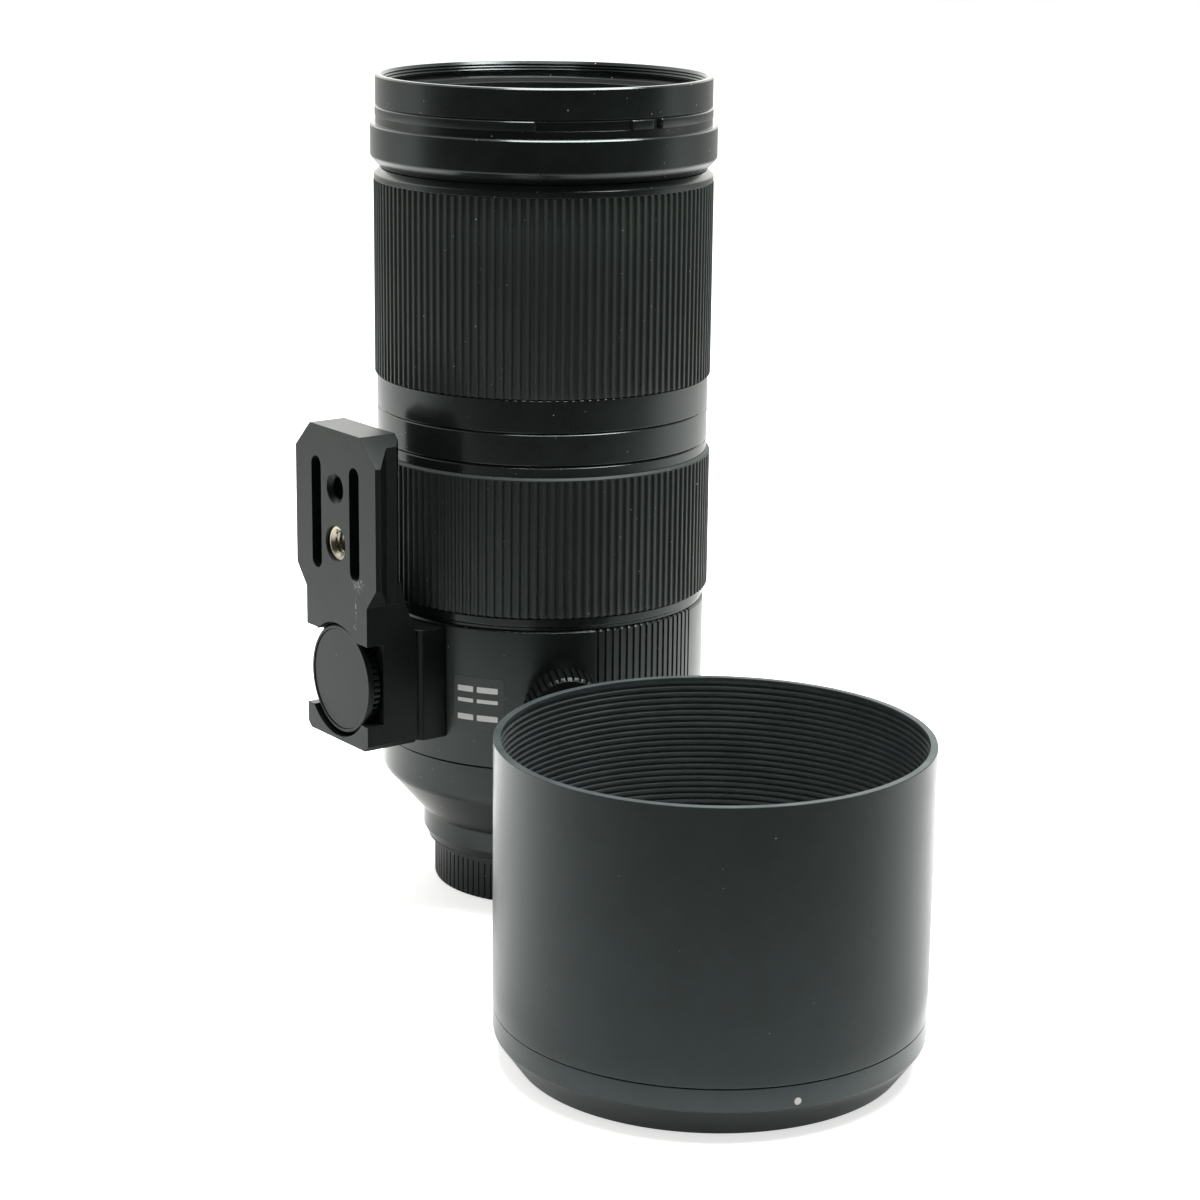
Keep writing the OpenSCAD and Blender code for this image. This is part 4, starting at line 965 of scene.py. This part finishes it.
class FootOperator(bpy.types.Operator):
    """Tripod foot with its threaded insert and clamp knob"""
    bl_idname = "zoom_lens.make_foot"
    bl_label = "Tripod foot"

    hole_height, sink_rim, sink_reach, sink_over = 112.5, 3.95, 2.2, 0.3
    # Radii of the insert's thread and of its mouth, and steps round it
    tip, root, mouth, rim, insert_steps = 2.45, 3.15, 3.5, 3.62, 48

    def execute(self, context):
        foot = stand(self.countersunk(context), "foot", foot_black(), ["tripod_foot"])
        soften(foot, 0.28, 3)
        dress("clamp_knob", knob_black(), 0.2)
        dress("clamp_disc", knob_black(), 0.12)
        dress("clamp_screw", mount_steel())
        self.insert()
        return {"FINISHED"}

    def countersunk(self, context):
        """Copy of the foot's mesh with a cone sunk round the locating hole."""
        face, over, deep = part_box("tripod_foot")[0].y, self.sink_over, self.sink_reach
        profile = [(0.0, -over), (self.sink_rim + over, -over), (self.sink_rim - deep, deep), (0.0, deep)]
        cone = turned("sink_tool", profile, radius=0.0, steps=96)
        place = Matrix.Translation((0.0, face, self.hole_height * MM))
        cone.transform(place @ Matrix.Rotation(-math.pi / 2, 4, "X"))
        tool = bpy.data.objects.new("sink_tool", cone)
        blank = bpy.data.objects.new("foot_blank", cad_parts["tripod_foot"].data.copy())
        for item in (tool, blank):
            context.scene.collection.objects.link(item)
        weld_points(blank)
        cut = blank.modifiers.new("countersink", "BOOLEAN")
        cut.object, cut.operation, cut.solver = tool, "DIFFERENCE", "EXACT"
        context.view_layer.update()
        made = bpy.data.meshes.new_from_object(blank.evaluated_get(context.evaluated_depsgraph_get()))
        for item in (tool, blank):
            data = item.data
            bpy.data.objects.remove(item)
            bpy.data.meshes.remove(data)
        made.name = "foot_countersunk"
        made.materials.clear()
        return made

    def insert(self):
        """Threaded bush, its thread cut as a helix."""
        low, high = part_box("thread_insert")
        x, z = (low.x + high.x) / 2 / MM, (low.z + high.z) / 2 / MM
        outer, face = (high.x - low.x) / 2 / MM, low.y / MM
        deep = high.y / MM - face
        run, pitch = deep - 0.45, sizes().insert_pitch / MM
        tip, root, mouth = self.tip, self.root, self.mouth
        turns = [FULL * k / self.insert_steps for k in range(self.insert_steps)]

        def ring(depth, radii):
            return [(x + r * math.cos(turn), face + depth, z + r * math.sin(turn))
                    for r, turn in zip(radii, turns)]

        def plain(depth, radius):
            return ring(depth, [radius] * self.insert_steps)

        def thread(depth):
            waves = [abs(((depth / pitch - turn / FULL) % 1.0) * 2 - 1) for turn in turns]
            shares = [min(1.0, max(0.0, wave * 1.25 - 0.12)) for wave in waves]
            return ring(depth, [max(root - (root - tip) * share, mouth - depth) for share in shares])

        count = int(run / pitch * 10)
        rows = [plain(deep, outer), plain(0.12, outer), plain(0.0, outer - 0.12), plain(0.0, self.rim),
                plain(0.1, mouth)]
        rows += [thread(0.4 + run * j / count) for j in range(count + 1)]
        rows.append(plain(deep, root))
        stand(skin("insert_threaded", rows, sharp=40), "foot", insert_bronze(), ["thread_insert"])


class CapOperator(bpy.types.Operator):
    """Rear cap with grip flutes, and the mount that it covers"""
    bl_idname = "zoom_lens.make_cap"
    bl_label = "Rear cap and mount"

    # Place in the pitch and share of the depth
    flute_form = ((0.0, 0.0), (0.25, 0.0), (0.36, 0.075), (0.42, 0.85), (0.5, 1.0), (0.58, 0.85),
                  (0.64, 0.075), (0.75, 0.0))

    def execute(self, context):
        s = sizes()
        depth, pitch = s.cap_flute_depth / MM, FULL / s.cap_flutes
        dips = [((i + at) * pitch, depth * share)
                for i in range(s.cap_flutes) for at, share in self.flute_form]
        high = heights("rear_cap")[1]
        r, inside, base, hollow, centre, rim = 28.2, 26.9, 1.8, 17.0, 0.4, high - 1.2
        profile = [(r - 0.7, 0.0, 0.0), (r - 0.2, 0.15, 0.5), (r, 0.6, 1.0), (r, rim - 0.25, 1.0),
                   (r, rim, 0.0), (r, high - 0.25, 0.0), (r - 0.25, high, 0.0), (inside, high, 0.0),
                   (inside, base, 0.0), (centre, base, 0.0), (centre, 0.25, 0.0), (hollow, 0.25, 0.0),
                   (hollow + 0.4, 0.0, 0.0)]
        stand(fluted("cap_fluted", profile, dips), "cap", cap_plastic(), ["rear_cap"])
        for node in ("mount_bayonet", "mount_screws"):
            dress(node, mount_steel())
        dress("mount_seal", grip_rubber())
        dress("contact_block", inner_black())
        dress("contact_pins", turned_brass())
        return {"FINISHED"}


class FrontOperator(bpy.types.Operator):
    """Front ring with its filter thread, the ring that holds the glass, and the glass"""
    bl_idname = "zoom_lens.make_front"
    bl_label = "Front ring and glass"

    # Three recesses in the hood groove and a notch past the first one's start, with their spans in degrees
    recess_at, recess_span, notch_at, notch_span = 322.2, 32.6, 41, 3.5
    filter_inset, glass_seat = 3.4, 5.0

    def execute(self, context):
        black, glass = anodised(), coated_glass()
        wide, low, high = reach("front_ring")
        bore = wide - self.filter_inset
        stand(self.ring(wide, bore, low, high), "front", black, ["front_ring"])
        retainer = self.retainer(bore, high - self.glass_seat)
        stand(retainer, "front", inner_black(), ["name_ring"])
        self.element("front_glass", "front_lens", 150.0, 700.0, glass)
        self.element("second_glass", "front_doublet", 220.0, 320.0, glass)
        dress("front_tube", black)
        dress("front_rollers", turned_brass())
        return {"FINISHED"}

    def ring(self, wide, bore, low, high):
        """Wide ring, milled hood groove, front band and filter thread."""
        edge, band, seat = wide - 2.5, wide - 1.35, high - self.glass_seat
        lug, recess = band + 0.15, band - 0.45
        top, under = high - 12.2, high - 7.8
        zone = top + 2.11
        low_cut, high_cut = zone - 0.15, under - 0.1
        tube, shelf, glass_bore, stop_bore = 36.59, low + 3.0, 36.64, 35.45
        outside = [(tube, low), (edge, low, 0.25), (wide, low + 2.8, 0.9), *chamfer(wide, top, 0.35, 0.07),
                   (band, top, 0.1), (band, low_cut - 0.02), (band, low_cut), (band, zone, 0.04),
                   (lug, zone, 0.04), (lug, under - 0.25, 0.06), (lug - 0.169, high_cut),
                   (lug - 0.191, high_cut + 0.02), (band - 0.3, under + 0.15, 0.05),
                   (band, under + 0.4, 0.08), *chamfer(band, high, 0.35, 0.07), (bore + 0.55, high, 0.2)]
        inside = [(bore, high - 2.7, 0.03), (bore + 0.4, high - 2.7), (bore + 0.4, high - 4.0),
                  (bore - 0.9, high - 4.0), (bore - 0.9, seat), (glass_bore, seat), (glass_bore, low + 8.5),
                  (stop_bore, low + 8.5), (stop_bore, shelf), (tube, shelf)]
        zone_cut = (low_cut - 0.005, high_cut + 0.005)
        cuts = [(*zone_cut, recess, self.recess_at + 120 * k, self.recess_span) for k in range(3)]
        cuts.append((*zone_cut, recess - 0.3, self.recess_at + self.notch_at, self.notch_span))
        return turned("front_ring_turned", outside + self.thread(bore, high) + inside, cuts=cuts)

    def thread(self, bore, high):
        """Turns of the filter thread as profile points."""
        pitch = sizes().filter_pitch / MM
        points, z = [], high - 0.75
        while z > high - 2.65:
            points += [(bore, z, 0.03), (bore + 0.33, z - 0.42 * pitch, 0.03)]
            z -= pitch
        return points

    def retainer(self, bore, seat):
        """Ring that holds the glass, stepped down towards it."""
        inner, wall, low = 35.4, 36.5, 204.7
        profile = [(inner, low), (wall, low), (wall, seat), (bore - 0.95, seat),
                   (bore - 0.95, seat + 0.9, 0.2), (bore - 2.0, seat + 0.9, 0.3)]
        for k in range(4):
            r = bore - 2.0 - 0.6 * (k + 1) + 0.3
            profile += [(r, seat + 0.72 - 0.16 * k, 0.05), (r, seat + 0.56 - 0.16 * k, 0.05)]
        profile.append((inner, seat - 0.1, 0.1))
        return turned("lens_retainer_turned", profile)

    def element(self, name, node, front, back, glass):
        """Lens element between two spheres of the given radii."""
        r, low, high = reach(node)
        steps = 24

        def sag(at, curve):
            return curve - math.sqrt(curve * curve - at * at)

        places = [r * k / steps for k in range(steps + 1)]
        profile = [(at, low + sag(at, back)) for at in places]
        profile += [(at, high - sag(at, front)) for at in reversed(places)]
        stand(turned(name, profile, steps=128), "front", glass, [node])


class HoodOperator(bpy.types.Operator):
    """Hood beside the lens: shell with light-trap ribs, mount ring and index dot"""
    bl_idname = "zoom_lens.make_hood"
    bl_label = "Hood"

    wall, mouth_lining = 1.7, 0.21
    dot_height, dot_steps = 8.7, 32
    # Share of the dot's radius and height over the ring
    dot_form = ((0.0, 0.05), (0.55, 0.048), (0.88, 0.035), (1.0, -0.05))

    def execute(self, context):
        (low, high), (ring_low, ring_high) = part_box("hood_shell"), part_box("hood_ring")
        centre = ((low.x + high.x) / 2 / MM, (low.y + high.y) / 2 / MM)
        outer, ring = (high.x - low.x) / 2 / MM, (ring_high.x - ring_low.x) / 2 / MM
        self.shell(centre, outer)
        self.ring(centre, ring, outer - self.wall)
        self.dot(centre, ring)
        return {"FINISHED"}

    def shell(self, centre, r):
        """Wall with light-trap ribs, lined inside and on the mouth."""
        s = sizes()
        low, high = heights("hood_shell")
        inside, pitch, deep = r - self.wall, s.hood_rib / MM, s.hood_rib_depth / MM
        profile = [(inside, low), (r, low, 0.3), (r, high, 0.22), (inside, high, 0.2)]
        z = high - 0.9
        while z > low + 2 * pitch:
            profile += [(inside, z, 0.1), (inside + deep, z - 0.7 * pitch, 0.12),
                        (inside + deep, z - 0.75 * pitch, 0.12), (inside, z - pitch + 0.02, 0.05)]
            z -= pitch
        made = turned("hood_shell_turned", profile, centre=centre)
        stand(made, "hood", hood_paint(), ["hood_shell"])
        # The lining inside and on the mouth is painted lighter, as painted light inside the hood
        made.materials.append(hood_lining())
        for face in made.polygons:
            at = face.center
            away = math.hypot(at.x / MM - centre[0], at.y / MM - centre[1])
            if away < inside + deep + 0.06 or at.z / MM > high - self.mouth_lining:
                face.material_index = 1

    def ring(self, centre, r, inside):
        """Mount ring that flares out from the socket and carries the shell."""
        top = heights("hood_shell")[0]
        socket, socket_top, foot, flare_top = 42.85, 8.2, 44.4, 7.2
        profile = [(socket, 0.0, 0.2), (foot, 0.0, 0.3), (r, flare_top, 0.8), (r, top - 0.12, 0.2),
                   (r - 0.35, top - 0.12, 0.05), (r - 0.35, top, 0.05), (inside - 0.6, top, 0.1),
                   (socket, socket_top, 0.4)]
        made = turned("hood_ring_turned", profile, centre=centre)
        stand(made, "hood", hood_paint(), ["hood_ring"])

    def dot(self, centre, r):
        """White index dot, a shallow domed disc bent round the hood ring."""
        s, steps = sizes(), self.dot_steps
        points, faces = [], []
        for share, out in self.dot_form:
            span = s.dot_radius / MM * share
            for turn in (FULL * k / steps for k in range(steps)):
                swing = s.dot_angle + span * math.cos(turn) / r
                x, y, z = round_at(r + out, swing, self.dot_height + span * math.sin(turn))
                points.append((x + centre[0], y + centre[1], z))
        last = len(self.dot_form) - 1
        for j in range(last):
            a, b = j * steps, (j + 1) * steps
            faces += [(a + k, b + k, b + (k + 1) % steps, a + (k + 1) % steps) for k in range(steps)]
        faces.append(tuple(reversed(range(last * steps, (last + 1) * steps))))
        stand(mesh_of("hood_dot", points, faces, sharp=40), "hood", mark_white())


class MarksOperator(bpy.types.Operator):
    """Plain numbers on the zoom ring's dial, and the index mark that they turn past"""
    bl_idname = "zoom_lens.make_marks"
    bl_label = "Dial marks"

    index_angle = 160
    numbers = ((0, "100"), (16, "135"), (37, "200"), (58, "300"), (75, "400"))
    dial_radius, text_size, text_rise = 42.58, 3.4, 0.03

    def execute(self, context):
        r, low, high = reach("index_ring")
        mark = bent_plate("index_mark", r - 0.02, math.radians(self.index_angle), (low + high) / 2, 0.7, 5.0,
                          0.05, 0.2)
        stand(mark, "barrel", mark_white())
        middle = (heights("zoom_grip")[0] - 0.05 + heights("zoom_ring")[0]) / 2
        for turn, text in self.numbers:
            made = self.printed("dial_" + text, text, math.radians(self.index_angle - turn), middle)
            stand(made, "zoom", mark_white())
        return {"FINISHED"}

    def printed(self, name, text, middle, height):
        """Raised number bent round the optical axis."""
        radius, rise = self.dial_radius, self.text_rise
        font = bpy.data.curves.new(name, "FONT")
        font.body = text
        font.size = self.text_size
        font.extrude = rise
        font.align_x, font.align_y = "CENTER", "CENTER"
        carrier = bpy.data.objects.new(name + "_flat", font)
        bpy.context.scene.collection.objects.link(carrier)
        bpy.context.view_layer.update()
        mesh = bpy.data.meshes.new_from_object(carrier.evaluated_get(bpy.context.evaluated_depsgraph_get()))
        bpy.data.objects.remove(carrier)
        bpy.data.curves.remove(font)
        mesh.name = name
        mesh.materials.clear()
        for v in mesh.vertices:
            x, y, z = round_at(radius + rise + v.co.z, middle + v.co.x / radius, height + v.co.y)
            v.co = (x * MM, y * MM, z * MM)
        mesh.update()
        return mesh


class InsideOperator(bpy.types.Operator):
    """Finishes on the drive, the moving groups and the iris inside"""
    bl_idname = "zoom_lens.finish_inside"
    bl_label = "Inside"

    def execute(self, context):
        blades = [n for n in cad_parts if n.startswith("iris_blade_")]
        for material, nodes in (
                (anodised(), ("guide_tube", "iris_ring")),
                (inner_black(), ("rear_cell", "focus_cell", "variator_cell", "iris_cell", "dust_seal",
                                 *blades)),
                (coated_glass(), ("rear_lens", "focus_lens", "variator_lens", "relay_lens")),
                (mount_steel(), ("focus_rods", "focus_motor", "focus_screw", "zoom_screws")),
                (drawn_aluminium(), ("cam_sleeve",)),
                (turned_brass(), ("variator_rollers", "iris_rollers")),
                (circuit_green(), ("main_board",))):
            for node in nodes:
                dress(node, material)
        return {"FINISHED"}


OPERATORS = (StageOperator, BarrelOperator, RingsOperator, GripsOperator, CollarOperator, FootOperator,
             CapOperator, FrontOperator, HoodOperator, MarksOperator, InsideOperator)


class LensPanel(bpy.types.Panel):
    """Steps and values of the zoom lens"""
    bl_idname = "VIEW3D_PT_zoom_lens"
    bl_label = "Zoom lens"
    bl_space_type = "VIEW_3D"
    bl_region_type = "UI"
    bl_category = "Zoom lens"

    def draw(self, context):
        for step in OPERATORS:
            self.layout.operator(step.bl_idname)
        for group in (context.scene.lens_sizes, context.scene.lens_colours):
            for key in group.bl_rna.properties.keys():
                if key not in ("rna_type", "name"):
                    self.layout.prop(group, key)


CLASSES = (LensSizes, LensColours, *OPERATORS, LensPanel)


def register():
    for item in CLASSES:
        bpy.utils.register_class(item)
    bpy.types.Scene.lens_sizes = bpy.props.PointerProperty(type=LensSizes)
    bpy.types.Scene.lens_colours = bpy.props.PointerProperty(type=LensColours)


def unregister():
    del bpy.types.Scene.lens_sizes
    del bpy.types.Scene.lens_colours
    for item in reversed(CLASSES):
        bpy.utils.unregister_class(item)


def main():
    register()
    bpy.ops.zoom_lens.make_stage()
    bpy.ops.zoom_lens.make_barrel()
    bpy.ops.zoom_lens.make_rings()
    bpy.ops.zoom_lens.make_grips()
    bpy.ops.zoom_lens.make_collar()
    bpy.ops.zoom_lens.make_foot()
    bpy.ops.zoom_lens.make_cap()
    bpy.ops.zoom_lens.make_front()
    bpy.ops.zoom_lens.make_hood()
    bpy.ops.zoom_lens.make_marks()
    bpy.ops.zoom_lens.finish_inside()


if __name__ == "__main__":
    main()
